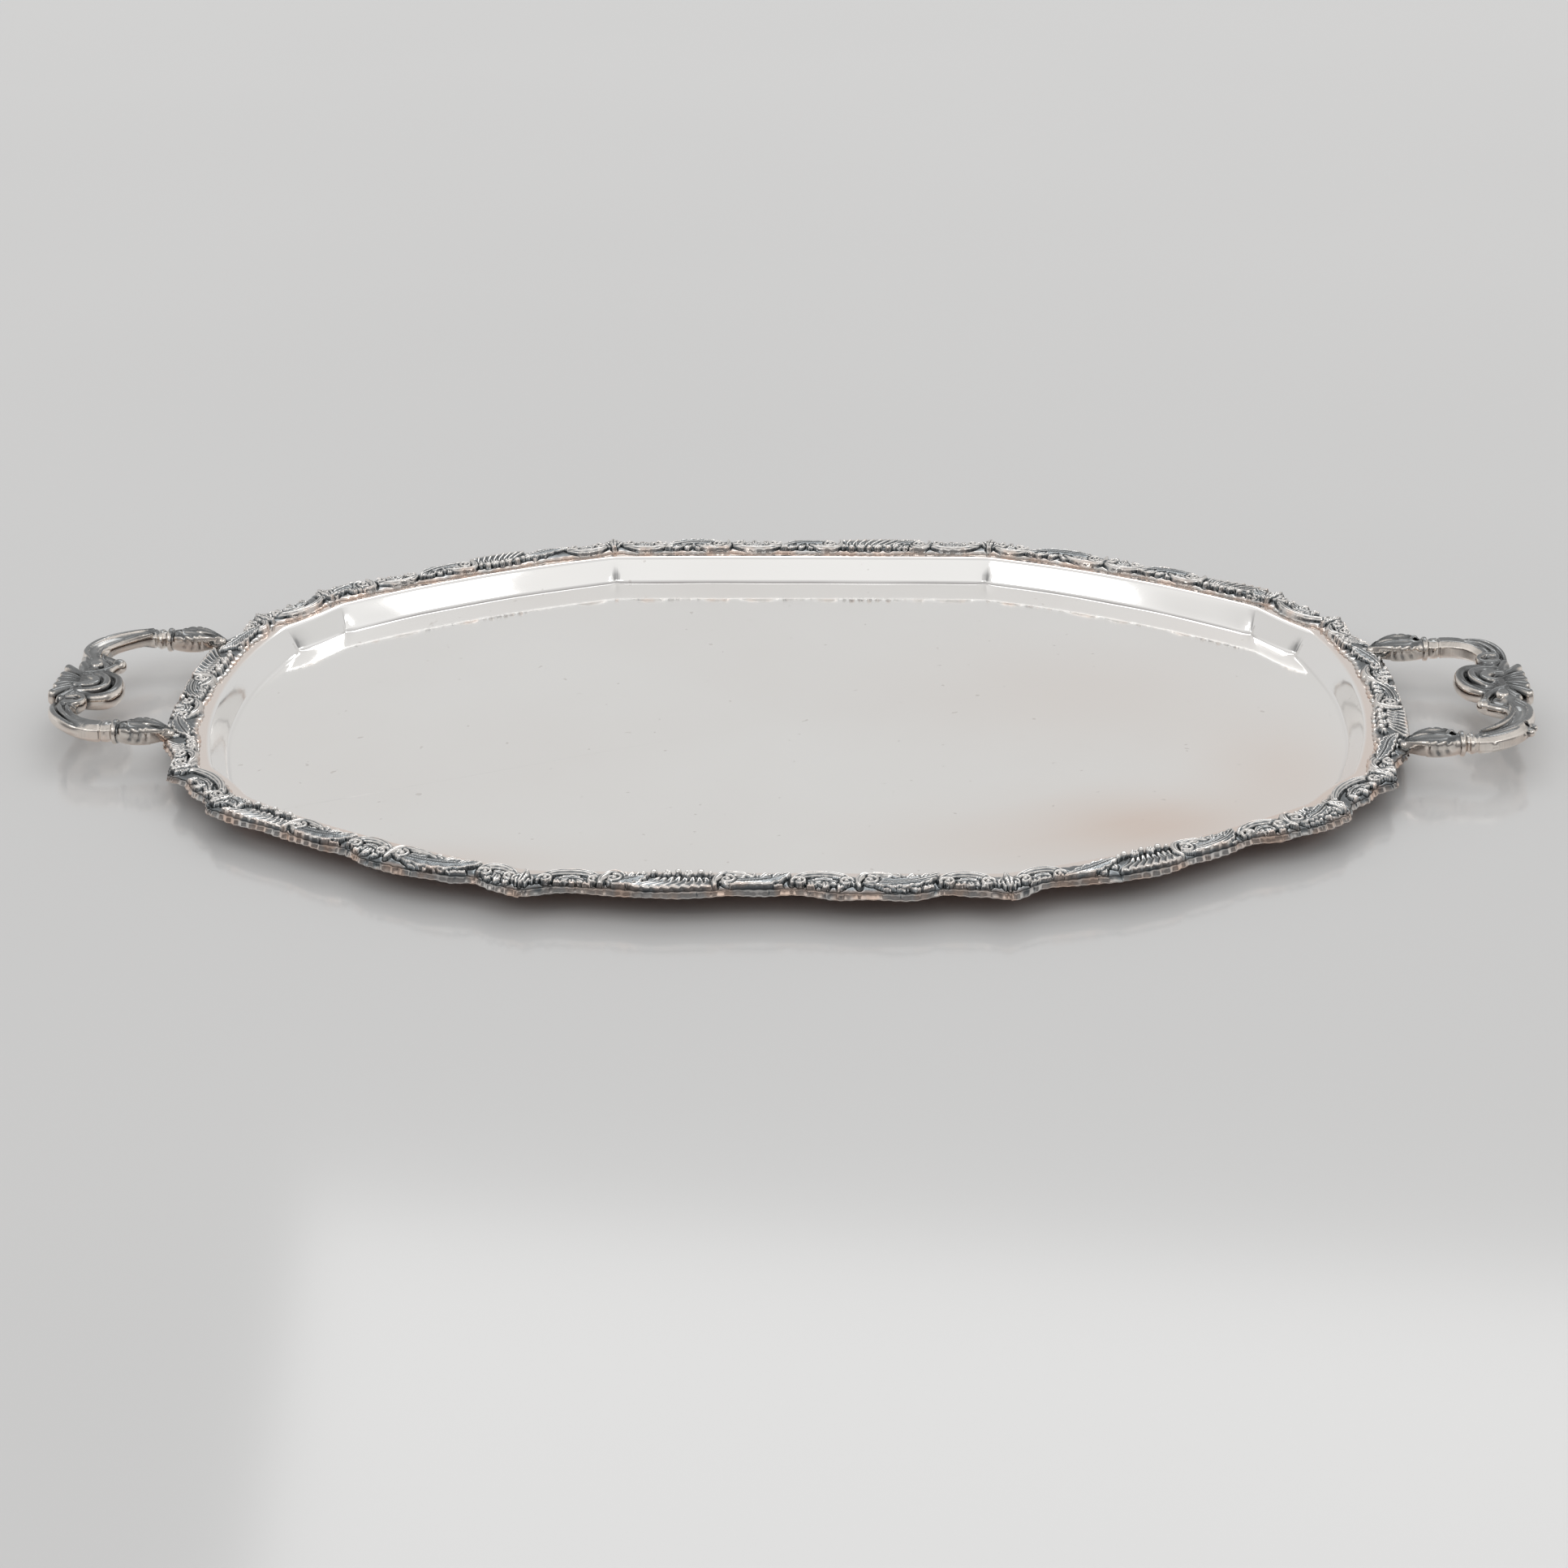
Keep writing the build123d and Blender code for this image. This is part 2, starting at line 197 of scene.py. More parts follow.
def make_world():
    """Pale studio surround: bright above and behind, dark at the horizon in front."""
    world = bpy.data.worlds.new("studio")
    bpy.context.scene.world = world
    world.use_nodes = True
    nodes = Nodes(world.node_tree)
    direction = nodes.add("ShaderNodeTexCoord").outputs["Generated"]
    parts = nodes.add("ShaderNodeSeparateXYZ", {"Vector": direction})
    behind = nodes.ramp(parts.outputs["Z"], [(0.0, (0.70, 0.70, 0.695)), (0.2, (0.71, 0.705, 0.70)),
                                             (0.48, (0.70, 0.695, 0.685)), (0.7, (0.90, 0.895, 0.89)),
                                             (0.9, (0.86, 0.855, 0.85)), (1.0, (0.78, 0.775, 0.77))])
    low = nodes.ramp(parts.outputs["Z"], [(0.0, (0.16, 0.16, 0.165)), (0.35, (0.28, 0.28, 0.28)),
                                          (0.6, (0.52, 0.515, 0.51)), (1.0, (0.78, 0.775, 0.77))])
    high = nodes.ramp(parts.outputs["Z"], [(0.0, (0.16, 0.16, 0.165)), (0.38, (0.34, 0.34, 0.34)),
                                           (0.52, (0.90, 0.895, 0.885)), (0.72, (0.93, 0.925, 0.915)),
                                           (0.88, (0.70, 0.695, 0.69)), (1.0, (0.78, 0.775, 0.77))])
    middle = nodes.ramp(nodes.math("ABSOLUTE", parts.outputs["X"]), [(0.68, 1.0), (0.95, 0.0)])
    front = nodes.mix(middle, low, high)
    towards = nodes.math("MULTIPLY", parts.outputs["Y"], -3.0, clamp=True)
    sky = nodes.mix(towards, behind, front)
    background = nodes.add("ShaderNodeBackground", {"Color": sky, "Strength": 1.0})
    nodes.add("ShaderNodeOutputWorld", {"Surface": background.outputs[0]})


def make_light(name, place, target, size, power, colour):
    """Rectangular soft box at place that faces the target."""
    data = bpy.data.lights.new(name, "AREA")
    data.shape = "RECTANGLE"
    data.size, data.size_y = size
    data.energy = power
    data.color = colour
    light = bpy.data.objects.new(name, data)
    light.location = place
    light.rotation_euler = (Vector(place) - Vector(target)).to_track_quat("Z", "Y").to_euler()
    bpy.context.scene.collection.objects.link(light)


TABLE_GAP = 0.00004  # in metres, keeps the table top clear of the tray's underside
TABLE_REACH = 6.0  # in metres, from the tray to each edge of the table


def make_floor():
    """Plain pale table top, slightly glossy."""
    mesh = bpy.data.meshes.new("table_top")
    corners = [(-1, -1), (1, -1), (1, 1), (-1, 1)]
    mesh.from_pydata([(x * TABLE_REACH, y * TABLE_REACH, -TABLE_GAP) for x, y in corners], [], [(0, 1, 2, 3)])
    floor = bpy.data.objects.new("table_top", mesh)
    material, nodes, place = new_material("table_laminate")
    cloud = nodes.noise(place, 1.3, 2.0)
    colour = nodes.ramp(cloud, [(0.3, (0.635, 0.635, 0.635)), (0.7, (0.655, 0.655, 0.655))])
    nodes.surface(Base_Color=colour, Roughness=0.12, IOR=1.68)
    mesh.materials.append(material)
    bpy.context.scene.collection.objects.link(floor)


# ======== Outline of the tray ========
def dot(a, b):
    return (a * b).sum(-1)


# Corners anticlockwise from the right end's front corner, with the name, kind and bulge of the
# panel that starts there. The other half is the same turned half round.
HALF_CORNERS = [
    ((CORNER_X, -END_PANEL / 2), "right_end", "end", END_BULGE),
    ((CORNER_X, END_PANEL / 2), "back_right_corner", "corner", CORNER_BULGE),
    ((CORNER_X - CORNER_RUN, END_PANEL / 2 + CORNER_RISE), "back_right", "arriving", SIDE_BULGE),
    ((CENTRE_PANEL / 2, HALF_WIDTH), "back_centre", "centre", CENTRE_BULGE),
    ((-CENTRE_PANEL / 2, HALF_WIDTH), "back_left", "leaving", SIDE_BULGE),
    ((CORNER_RUN - CORNER_X, END_PANEL / 2 + CORNER_RISE), "back_left_corner", "corner", CORNER_BULGE),
]
OPPOSITE = {"right_end": "left_end", "back_right_corner": "front_left_corner",
            "back_right": "front_left", "back_centre": "front_centre",
            "back_left": "front_right", "back_left_corner": "front_right_corner"}
CORNERS = HALF_CORNERS + [((-x, -y), OPPOSITE[name], kind, bulge)
                          for (x, y), name, kind, bulge in HALF_CORNERS]


class Panel:
    """One arc of the outline, from its start corner to its end corner."""

    def __init__(self, index):
        place, self.name, self.kind, self.bulge = CORNERS[index]
        self.start = np.array(place)
        self.end = np.array(CORNERS[(index + 1) % len(CORNERS)][0])
        chord = self.end - self.start
        self.length = float(np.hypot(*chord))
        self.along = chord / self.length
        self.out = np.array((self.along[1], -self.along[0]))
        self.mid = (self.start + self.end) / 2 + self.out * self.bulge
        radius = (self.length**2 / 4 + self.bulge**2) / (2 * self.bulge)
        self.half_angle = math.asin(self.length / 2 / radius)

    def normal(self, side):
        """Outward normal at the end (side 1) or at the start (side -1)."""
        return self.out * math.cos(self.half_angle) + self.along * (side * math.sin(self.half_angle))


PANELS = [Panel(i) for i in range(len(CORNERS))]


def corner_point(index, inset):
    """Corner number index moved in by each inset. Down the wall a corner panel's creases draw together."""
    panel = PANELS[index % len(PANELS)]
    previous = PANELS[(index - 1) % len(PANELS)]
    before, after = previous.normal(1), panel.normal(-1)
    mitre = -(before + after) / (1 + dot(before, after))
    inset = np.asarray(inset, float)[..., None]
    draw = CREASE_DRAW * np.maximum(0, inset - WALL_TOP_INSET) / WALL_RUN
    point = panel.start + mitre * inset
    if panel.kind == "corner":
        point = point + panel.along * draw
    if previous.kind == "corner":
        point = point - previous.along * draw
    return point


def arc_point(index, share, inset):
    """Points a share of the way round panel number index, moved in by inset."""
    panel = PANELS[index]
    inset = np.asarray(inset, float)
    start, end = corner_point(index, inset), corner_point(index + 1, inset)
    chord = end - start
    length = np.linalg.norm(chord, axis=-1, keepdims=True)
    along = chord / length
    out = np.stack((along[..., 1], -along[..., 0]), -1)
    rise = dot(panel.mid - panel.out * inset[..., None] - (start + end) / 2, out)[..., None]
    radius = (length**2 / 4 + rise**2) / (2 * rise)
    centre = (start + end) / 2 + out * (rise - radius)
    angle = (2 * np.asarray(share)[..., None] - 1) * np.arcsin(length / 2 / radius)
    return centre + out * (radius * np.cos(angle)) + along * (radius * np.sin(angle))


def make_piece(name, points, faces, material, slot, *nodes, attributes=None, sharp=()):
    """A smooth-shaded mesh of points in millimetres that rides on the tray and stands for CAD nodes."""
    mesh = bpy.data.meshes.new(name)
    mesh.from_pydata((np.asarray(points) * MM).tolist(), [], faces)
    mesh.polygons.foreach_set("use_smooth", np.ones(len(mesh.polygons), bool))
    for key, values in (attributes or {}).items():
        layer = mesh.attributes.new(key, "FLOAT", "POINT")
        layer.data.foreach_set("value", np.asarray(values, np.float32))
    if len(sharp):
        pairs = {tuple(sorted(pair)) for pair in sharp}
        flags = [tuple(sorted(edge.vertices)) in pairs for edge in mesh.edges]
        layer = mesh.attributes.new("sharp_edge", "BOOLEAN", "EDGE")
        layer.data.foreach_set("value", flags)
    mesh.materials.append(material)
    mesh.update()
    piece = bpy.data.objects.new(name, mesh)
    bpy.context.scene.collection.objects.link(piece)
    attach(piece, "root")
    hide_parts(*nodes)


# ======== Sheet body ========
CORNER_COLUMNS = 7
COLUMN_PITCH = 3.0
BEND_STEPS = 8
FOLD_TOP = 7.0  # half length along the rim over which a crease is rounded at the wall's top
FOLD_FOOT = 1.4
PINCH = 1.3  # how far a crease's foot draws out of the floor line
PINCH_SPREAD = 2.2
WAVINESS = 0.35
# The floor's rings, as shares of the way from the middle to the wall's foot
FLOOR_STEPS = (0.02, 0.1, 0.22, 0.36, 0.5, 0.62, 0.73, 0.82, 0.89, 0.94, 0.975)
STRIP_FILM = 0.42  # warm tarnish on the flange beside the mounts
STRIP_LEVELS = 6  # it starts this many rings in from the sheet's edge
FOOT_SHADE_SPREAD = 1.6  # in rings, of the painted shade, a dark line along the crease at the wall's foot
FOOT_SHADE_REACH = 262  # the line has faded out this far from the tray's middle
FOOT_SHADE_FADE = 60
# Warm tarnish on the well: centre x and y, spread in x and y, and strength
FILM_PATCHES = [(162, -108, 42, 28, 0.55), (140, 30, 75, 60, 0.16), (225, -60, 36, 60, 0.3),
                (110, -130, 60, 30, 0.25), (-150, -150, 60, 16, 0.3)]


def wall_levels(depth):
    """Inset and height of each level of the wall, from the floor up, at a depth below the upper face."""
    rise = RIM_HEIGHT - SHEET
    bends = WALL_TOP_RADIUS + WALL_FOOT_RADIUS
    slope = math.atan2(rise - bends, WALL_RUN) + math.asin(bends / math.hypot(WALL_RUN, rise - bends))
    foot, top = WALL_FOOT_RADIUS + depth, WALL_TOP_RADIUS - depth
    turns = [slope * i / BEND_STEPS for i in range(BEND_STEPS + 1)]
    lower = [(FLOOR_INSET - foot * math.sin(a), SHEET + WALL_FOOT_RADIUS - foot * math.cos(a))
             for a in turns]
    upper = [(WALL_TOP_INSET + top * math.sin(a), RIM_HEIGHT - WALL_TOP_RADIUS + top * math.cos(a))
             for a in reversed(turns)]
    middle = [tuple(a + (b - a) * share for a, b in zip(lower[-1], upper[0])) for share in (0.25, 0.5, 0.75)]
    return lower + middle + upper


def ring(inset, z, fold, pinch=0.0, wave=0.0):
    """One closed level of the body. A fold rounds each crease over that length on both sides."""
    points = []
    for index, panel in enumerate(PANELS):
        near = np.linspace(0, 1, CORNER_COLUMNS, endpoint=False) * fold / panel.length
        columns = int(panel.length / COLUMN_PITCH)
        share = np.concatenate((near, np.linspace(fold / panel.length, 1 - fold / panel.length, columns),
                                1 - near[:0:-1]))
        along = share * panel.length
        gap = np.minimum(along, panel.length - along)
        wavy = wave * np.sin(along / 13.0 + 2 * index) * np.sin(along / 31.0 + index)
        inset_here = inset - pinch * np.exp(-(gap / PINCH_SPREAD)**2) + wavy
        line = arc_point(index, share, inset_here)
        # Each crease becomes a curve that leaves both panels smoothly
        round_off = np.maximum(0, 1 - gap / fold)**2 / 4 * fold
        turn = np.where(along < panel.length / 2, crease_turn(index), crease_turn(index + 1))
        line = line - panel.out * (round_off * np.tan(turn / 2))[:, None]
        points.append(line)
    flat = np.concatenate(points)
    return np.column_stack((flat, np.full(len(flat), z)))


def crease_turn(index):
    """Angle between the two panels that meet at a corner."""
    before = PANELS[(index - 1) % len(PANELS)].normal(1)
    after = PANELS[index % len(PANELS)].normal(-1)
    return math.acos(min(1.0, float(dot(before, after))))


def strip(first, second, count):
    """Quads between two closed rings of count points that start at the given vertices."""
    faces = []
    for i in range(count):
        j = (i + 1) % count
        faces.append((first + i, second + i, second + j, first + j))
    return faces


def make_body(material):
    """Floor, wall and flange of the pressed sheet, with its underside and edge."""
    rings = []
    foot = ring(FLOOR_INSET, SHEET, FOLD_FOOT, PINCH, WAVINESS)

    def level_ring(inset, z, depth):
        up = min(1, max(0, (z + depth - SHEET) / (RIM_HEIGHT - SHEET)))
        fold = FOLD_FOOT + (FOLD_TOP - FOLD_FOOT) * up**1.3
        return ring(inset, z, fold, PINCH * (1 - up)**2, WAVINESS * (1 - up))

    for step in FLOOR_STEPS:
        rings.append(foot * (step, step, 1))
    for inset, z in wall_levels(0):
        rings.append(level_ring(inset, z, 0))
    rings.append(ring(SHEET_EDGE_INSET, RIM_HEIGHT, FOLD_TOP))
    rings.append(ring(SHEET_EDGE_INSET, RIM_HEIGHT - SHEET, FOLD_TOP))
    for inset, z in reversed(wall_levels(SHEET)):
        rings.append(level_ring(inset, z, SHEET))
    for step in reversed(FLOOR_STEPS):
        rings.append(foot * (step, step, 0))
    count = len(foot)
    points = np.concatenate(rings + [np.array([[0, 0, SHEET], [0, 0, 0]])])
    faces = []
    for level in range(len(rings) - 1):
        faces += strip(level * count, (level + 1) * count, count)
    top, bottom = len(points) - 2, len(points) - 1
    last = (len(rings) - 1) * count
    for i in range(count):
        j = (i + 1) % count
        faces.append((top, i, j))
        faces.append((bottom, last + j, last + i))
    edge = len(FLOOR_STEPS) + len(wall_levels(0))
    sharp = [(level * count + i, level * count + (i + 1) % count)
             for level in (edge, edge + 1) for i in range(count)]
    under = np.zeros(len(points))
    under[(edge + 1) * count:-2] = 1
    under[-1] = 1
    x, y = points[:, 0], points[:, 1]
    ring_number = np.concatenate((np.repeat(np.arange(len(rings)), count), (-np.inf, -np.inf)))
    film = STRIP_FILM * np.clip((ring_number - edge + STRIP_LEVELS) / 4, 0, 1) * (1 - under)
    foot_ring = len(FLOOR_STEPS) + BEND_STEPS // 2
    # Painted shade: a dark line along the crease at the wall's foot, on the upper side only, faded out
    # towards the ends
    painted_foot_shade = np.exp(-((ring_number - foot_ring) / FOOT_SHADE_SPREAD)**2) * (1 - under)
    painted_foot_shade = painted_foot_shade * np.clip((FOOT_SHADE_REACH - np.abs(x)) / FOOT_SHADE_FADE, 0, 1)
    for centre_x, centre_y, spread_x, spread_y, amount in FILM_PATCHES:
        film = film + amount * np.exp(-((x - centre_x) / spread_x)**2 - ((y - centre_y) / spread_y)**2)
    make_piece("pressed_body", points, faces, material, "polished_plate", "tray_body",
               attributes={"film": np.clip(film, 0, 1), "painted_foot_shade": painted_foot_shade, "under": under}, sharp=sharp)


# ======== Cast border ========
RELIEF_STEP = 0.34  # spacing of the relief's grid
MOAT = 0.55  # width of the groove round a form
MOAT_DEPTH = 0.55
LOWEST = 0.25  # nothing on the relief lies lower than this
SKIRT_DROP = 2.6
SKIRT_WALL = 1.6
DOME_EDGE = 0.7  # height of the plain casting at its edges, and how much it rises between them
DOME_RISE = 1.3
GRAIN = 0.04  # depth of the cast surface's fine unevenness
GROUND_SHADE = 0.55  # share of dark oxide between the forms
FORM_EDGE = 0.5  # width over which a form rises from its groove
BAND_GROOVE_DEPTH = 0.32
BAND_GROOVE_WIDTH = 0.28
SPIRAL_POINTS = 40
SPIRAL_EYE = 0.8
VOLUTE_HEIGHT = 3.6
LEAF_TAPER = (0.25, 0.0)  # width at a leaf's foot and at its tip, as shares of its greatest


def curve(*points, count=36):
    """Smooth line through the points."""
    before = 2 * np.array(points[0]) - points[1]
    beyond = 2 * np.array(points[-1]) - points[-2]
    knots = np.array([before, *points, beyond], float)
    line = []
    spans = len(points) - 1
    for i in range(spans):
        a, b, c, d = knots[i:i + 4]
        for u in np.linspace(0, 1, max(2, count // spans), endpoint=False):
            line.append(0.5 * (2 * b + (c - a) * u + (2 * a - 5 * b + 4 * c - d) * u**2
                               + (3 * b - a - 3 * c + d) * u**3))
    line.append(knots[-2])
    return np.array(line)


def spiral(centre, radius, start, turns):
    """Line that winds in from radius to its eye. Start is in degrees, and turns may be negative."""
    share = np.linspace(0, 1, SPIRAL_POINTS)
    reach = radius + (SPIRAL_EYE - radius) * share**0.8
    angle = np.radians(start) + TAU * turns * share
    return np.column_stack((centre[0] + reach * np.cos(angle), centre[1] + reach * np.sin(angle)))


def follow(path, x, y):
    """Distance from the path, share of its length, and side (1 on its left) for each point."""
    gaps = np.diff(path, axis=0)
    lengths = np.hypot(*gaps.T)
    ends = np.concatenate(((0,), np.cumsum(lengths)))
    best = np.full(x.shape, 1e9)
    share, side = np.zeros(x.shape), np.ones(x.shape)
    for (px, py), (gx, gy), length, begin in zip(path, gaps, lengths, ends):
        if length < 1e-6:
            continue
        dx, dy = x - px, y - py
        at = np.clip((dx * gx + dy * gy) / length**2, 0, 1)
        away = (dx - at * gx)**2 + (dy - at * gy)**2
        nearer = away < best
        best = np.where(nearer, away, best)
        share = np.where(nearer, (begin + at * length) / ends[-1], share)
        side = np.where(nearer, np.sign(gx * dy - gy * dx), side)
    return np.sqrt(best), share, side


def swell(share, start, end, power):
    """Width factor that grows from start to 1 in the middle and falls to end."""
    middle = np.sin(math.pi * np.clip(share, 0, 1))**power
    return middle + (1 - middle) * (start + (end - start) * share)


class Relief:
    """Height of the casting above the flange on a grid along a panel (s) and in from its outline (t)."""

    def __init__(self, length, outer, inner, seed):
        self.rows = max(8, int(length / RELIEF_STEP))
        self.columns = int(MOUNT_WIDTH / RELIEF_STEP)
        along = np.linspace(0, length, self.rows)
        across = np.linspace(0, 1, self.columns)**0.92
        edge, inside = outer(along)[:, None], inner(along)[:, None]
        self.length = length
        self.s = np.repeat(along[:, None], self.columns, 1)
        self.t = edge + (inside - edge) * across
        self.across = np.repeat(across[None, :], self.rows, 0)
        grain = np.random.default_rng(seed)
        dome = DOME_EDGE + DOME_RISE * np.sin(math.pi * self.across)**0.7
        self.height = dome + GRAIN * grain.random(self.s.shape)
        self.shade = np.full(self.s.shape, GROUND_SHADE)

    def window(self, path, reach):
        """Rows of the grid that a form near the path can touch."""
        low, high = path[:, 0].min() - reach, path[:, 0].max() + reach
        first = int(np.clip((low / self.length) * (self.rows - 1), 0, self.rows - 1))
        last = int(np.clip((high / self.length) * (self.rows - 1) + 2, 1, self.rows))
        return slice(first, last)

    def lay(self, rows, inside, top, shade, moat=MOAT_DEPTH):
        """Lays a form over what is there: top where inside is positive, with a groove round it."""
        ditch = moat * np.exp(-(np.minimum(0, inside) / MOAT)**2)
        around = np.maximum(LOWEST, self.height[rows] - ditch)
        share = np.clip(inside / FORM_EDGE, 0, 1)
        share = share * share * (3 - 2 * share)
        over = np.maximum(top, LOWEST)
        self.height[rows] = np.where(inside > 0, around * (1 - share) + over * share, around)
        self.shade[rows] = np.where(inside > 0, shade, self.shade[rows])

    def band(self, path, width, height, taper, grooves):
        """A round moulded band along the path, with fine grooves along it."""
        rows = self.window(path, width)
        away, share, side = follow(path, self.s[rows], self.t[rows])
        half = width / 2 * swell(share, *taper, 0.5)
        x = away / half
        top = height * (0.45 + 0.55 * np.sqrt(np.clip(1 - x**2, 0, 1)))
        for i in range(grooves):
            line = -0.6 + 1.2 * i / max(1, grooves - 1)
            aside = (side * x - line) * half
            top = top - BAND_GROOVE_DEPTH * np.exp(-(aside / BAND_GROOVE_WIDTH)**2)
        self.lay(rows, half - away, top, shade=0.3)

    def volute(self, centre, radius, start, turns, width):
        """Rolled end of a scroll, with a ball in its eye."""
        path = spiral(centre, radius, start, turns)
        self.band(path, width, VOLUTE_HEIGHT, (1.0, 0.45), grooves=1)
        self.bud(centre, 1.25, VOLUTE_HEIGHT + 0.3, petals=0)

    def bud(self, centre, radius, height, petals=5, turn=0.0):
        """A round bud or small flower."""
        centre = np.array(centre, float)
        rows = self.window(np.array((centre, centre)), radius + MOAT * 2)
        dx, dy = self.s[rows] - centre[0], self.t[rows] - centre[1]
        away, angle = np.hypot(dx, dy), np.arctan2(dy, dx) + turn
        lobes = np.abs(np.cos(petals * angle / 2)) if petals else 1.0
        reach = radius * (0.78 + 0.22 * lobes)
        x = away / reach
        top = height - 1.4 * (1 - np.sqrt(np.clip(1 - x**2, 0, 1)))
        if petals:
            top = top - 0.35 * (1 - lobes) * (x > 0.3) - 0.4 * np.exp(-((x - 0.36) / 0.09)**2)
        self.lay(rows, reach - away, top, shade=0.12)

    def leaf(self, path, width, height, lobes, shade, marks="veins", hook=0.0):
        """A leaf along the path: lobed edge, midrib, and fine veins or dots."""
        rows = self.window(path, width)
        s, t = self.s[rows], self.t[rows]
        away, share, side = follow(path, s, t)
        length = np.hypot(*np.diff(path, axis=0).T).sum()
        lobe = np.abs(np.sin(math.pi * lobes * share + 0.5))
        half = width / 2 * swell(share, *LEAF_TAPER, 0.75) * (0.76 + 0.24 * lobe) + 0.05
        x = away / half
        top = height - 0.9 * x**2 + 0.55 * np.exp(-((x - 0.86) / 0.13)**2) + hook * share**2
        top = top - 0.55 * np.exp(-(away / 0.32)**2)
        if marks == "veins":
            phase = (share * length * 0.75 - away) * TAU / 1.35
            top = top + 0.12 * np.sin(phase) * np.clip(x * 4, 0, 1) * (x < 0.85)
        elif marks == "lines":
            top = top + 0.13 * np.sin(side * away * TAU / 1.15) * (x < 0.85)
        else:
            dots = np.sin(TAU * s / 1.25 + 1.4 * np.sin(t)) * np.sin(TAU * t / 1.25)
            top = top + 0.16 * np.clip(dots, 0, 1) * (x < 0.82) - 0.1
        self.lay(rows, half - away, top, shade=shade)

    def flute(self, path, width, height):
        """One hollow flute of a shell, widest at its round tip, with a thin ridge round it."""
        rows = self.window(path, width)
        away, share, _ = follow(path, self.s[rows], self.t[rows])
        half = width / 2 * (0.34 + 0.66 * share)
        x = away / half
        hollow = np.sqrt(np.clip(1 - x**2, 0, 1)) * np.clip(share * 4, 0.2, 1)
        top = height * (0.72 + 0.28 * share) - hollow
        self.lay(rows, half - away, top, shade=0.5 * (1 - x**2), moat=0.35)

    def blurred(self, reach):
        """The heights, smoothed over reach millimetres."""
        radius = max(1, int(reach / RELIEF_STEP))
        out = self.height
        for axis in (0, 1):
            padded = np.pad(out, [(radius + 1, radius) if a == axis else (0, 0) for a in (0, 1)], mode="edge")
            total = np.cumsum(padded, axis)
            ahead = np.take(total, range(2 * radius + 1, total.shape[axis]), axis)
            behind = np.take(total, range(0, total.shape[axis] - 2 * radius - 1), axis)
            out = (ahead - behind) / (2 * radius + 1)
        return out

    def dark_share(self):
        """How much dark oxide the polishing has left: none on ridges, most in grooves."""
        fine = (self.blurred(0.7) - self.height) / 0.22
        broad = (self.blurred(2.6) - self.height) / 1.1
        inner_edge = np.clip((self.across - 0.84) / 0.1, 0, 1)
        return np.clip(self.shade + 0.16 + 0.5 * fine + 0.42 * broad, 0, 1) * (1 - 0.85 * inner_edge)


def knots_at(knots, share):
    """Smooth values between the knots (place, value)."""
    places, values = np.array(knots).T
    index = np.clip(np.searchsorted(places, share, side="right") - 1, 0, len(places) - 2)
    blend = (1 - np.cos(math.pi * (share - places[index]) / (places[index + 1] - places[index]))) / 2
    return values[index] + (values[index + 1] - values[index]) * blend


# Outer and inner edge of each kind of mount: (fraction of the way round the panel, inset there)
OUTER = {
    "centre": [(0, 0.6), (0.07, 4.4), (0.17, 3.0), (0.28, 0.4), (0.38, 1.8), (0.46, 3.6), (0.56, 3.9),
               (0.68, 0.2), (0.8, 0.4), (0.88, 4.6), (0.94, 3.8), (1, 0.6)],
    "leaving": [(0, 0.6), (0.1, 5.6), (0.2, 4.2), (0.3, 0.4), (0.43, 0.2), (0.53, 3.0), (0.62, 3.8),
                (0.71, 6.0), (0.8, 1.8), (0.9, 0.2), (1, 0.6)],
    "arriving": [(0, 0.6), (0.1, 1.4), (0.25, 3.4), (0.38, 2.6), (0.46, 4.6), (0.56, 0.2), (0.7, 0.2),
                 (0.79, 2.0), (0.86, 4.6), (0.93, 1.4), (1, 0.6)],
    "corner": [(0, 0.6), (0.25, 3.2), (0.5, 1.6), (0.75, 3.2), (1, 0.6)],
    "end": [(0, 0.6), (0.09, 4.6), (0.19, 0.2), (0.36, 1.2), (0.5, 2.4), (0.64, 1.2), (0.777, 0.2),
            (0.91, 4.6), (1, 0.6)],
}
INNER = {
    "centre": [(0, 15.6), (0.08, 16.8), (0.15, 16.2), (0.2, 15.4), (0.29, 17.8), (0.36, 17.6), (0.42, 16.2),
               (0.5, 17.0), (0.56, 15.8), (0.64, 17.2), (0.7, 15.2), (0.8, 17.0), (0.86, 16.0), (0.94, 17.2),
               (1, 15.6)],
    "leaving": [(0, 15.6), (0.08, 17.0), (0.16, 16.2), (0.24, 15.6), (0.36, 17.8), (0.46, 17.6), (0.53, 16.2),
                (0.62, 17.4), (0.7, 15.6), (0.8, 17.2), (0.87, 15.8), (0.95, 17.4), (1, 15.8)],
    "arriving": [(0, 15.8), (0.06, 16.6), (0.13, 17.6), (0.21, 17.8), (0.27, 16.4), (0.36, 17.2),
                 (0.45, 15.8), (0.55, 17.0), (0.6, 16.0), (0.7, 17.4), (0.84, 15.8), (0.92, 17.2), (1, 15.6)],
    "corner": [(0, 15.8), (0.5, 17.2), (1, 15.8)],
    "end": [(0, 15.8), (0.08, 17.4), (0.16, 16.0), (0.27, 17.6), (0.36, 17.9), (0.44, 16.2), (0.53, 17.2),
            (0.6, 15.8), (0.66, 17.2), (0.74, 15.8), (0.82, 17.6), (0.92, 16.6), (1, 15.8)],
}
SHELL_HEIGHT = 3.9
BAND_HEIGHT = 3.7
LEAF_HEIGHT = 3.5
ARCH_FOOT = 4.6
ARCH_CREST = 14.8


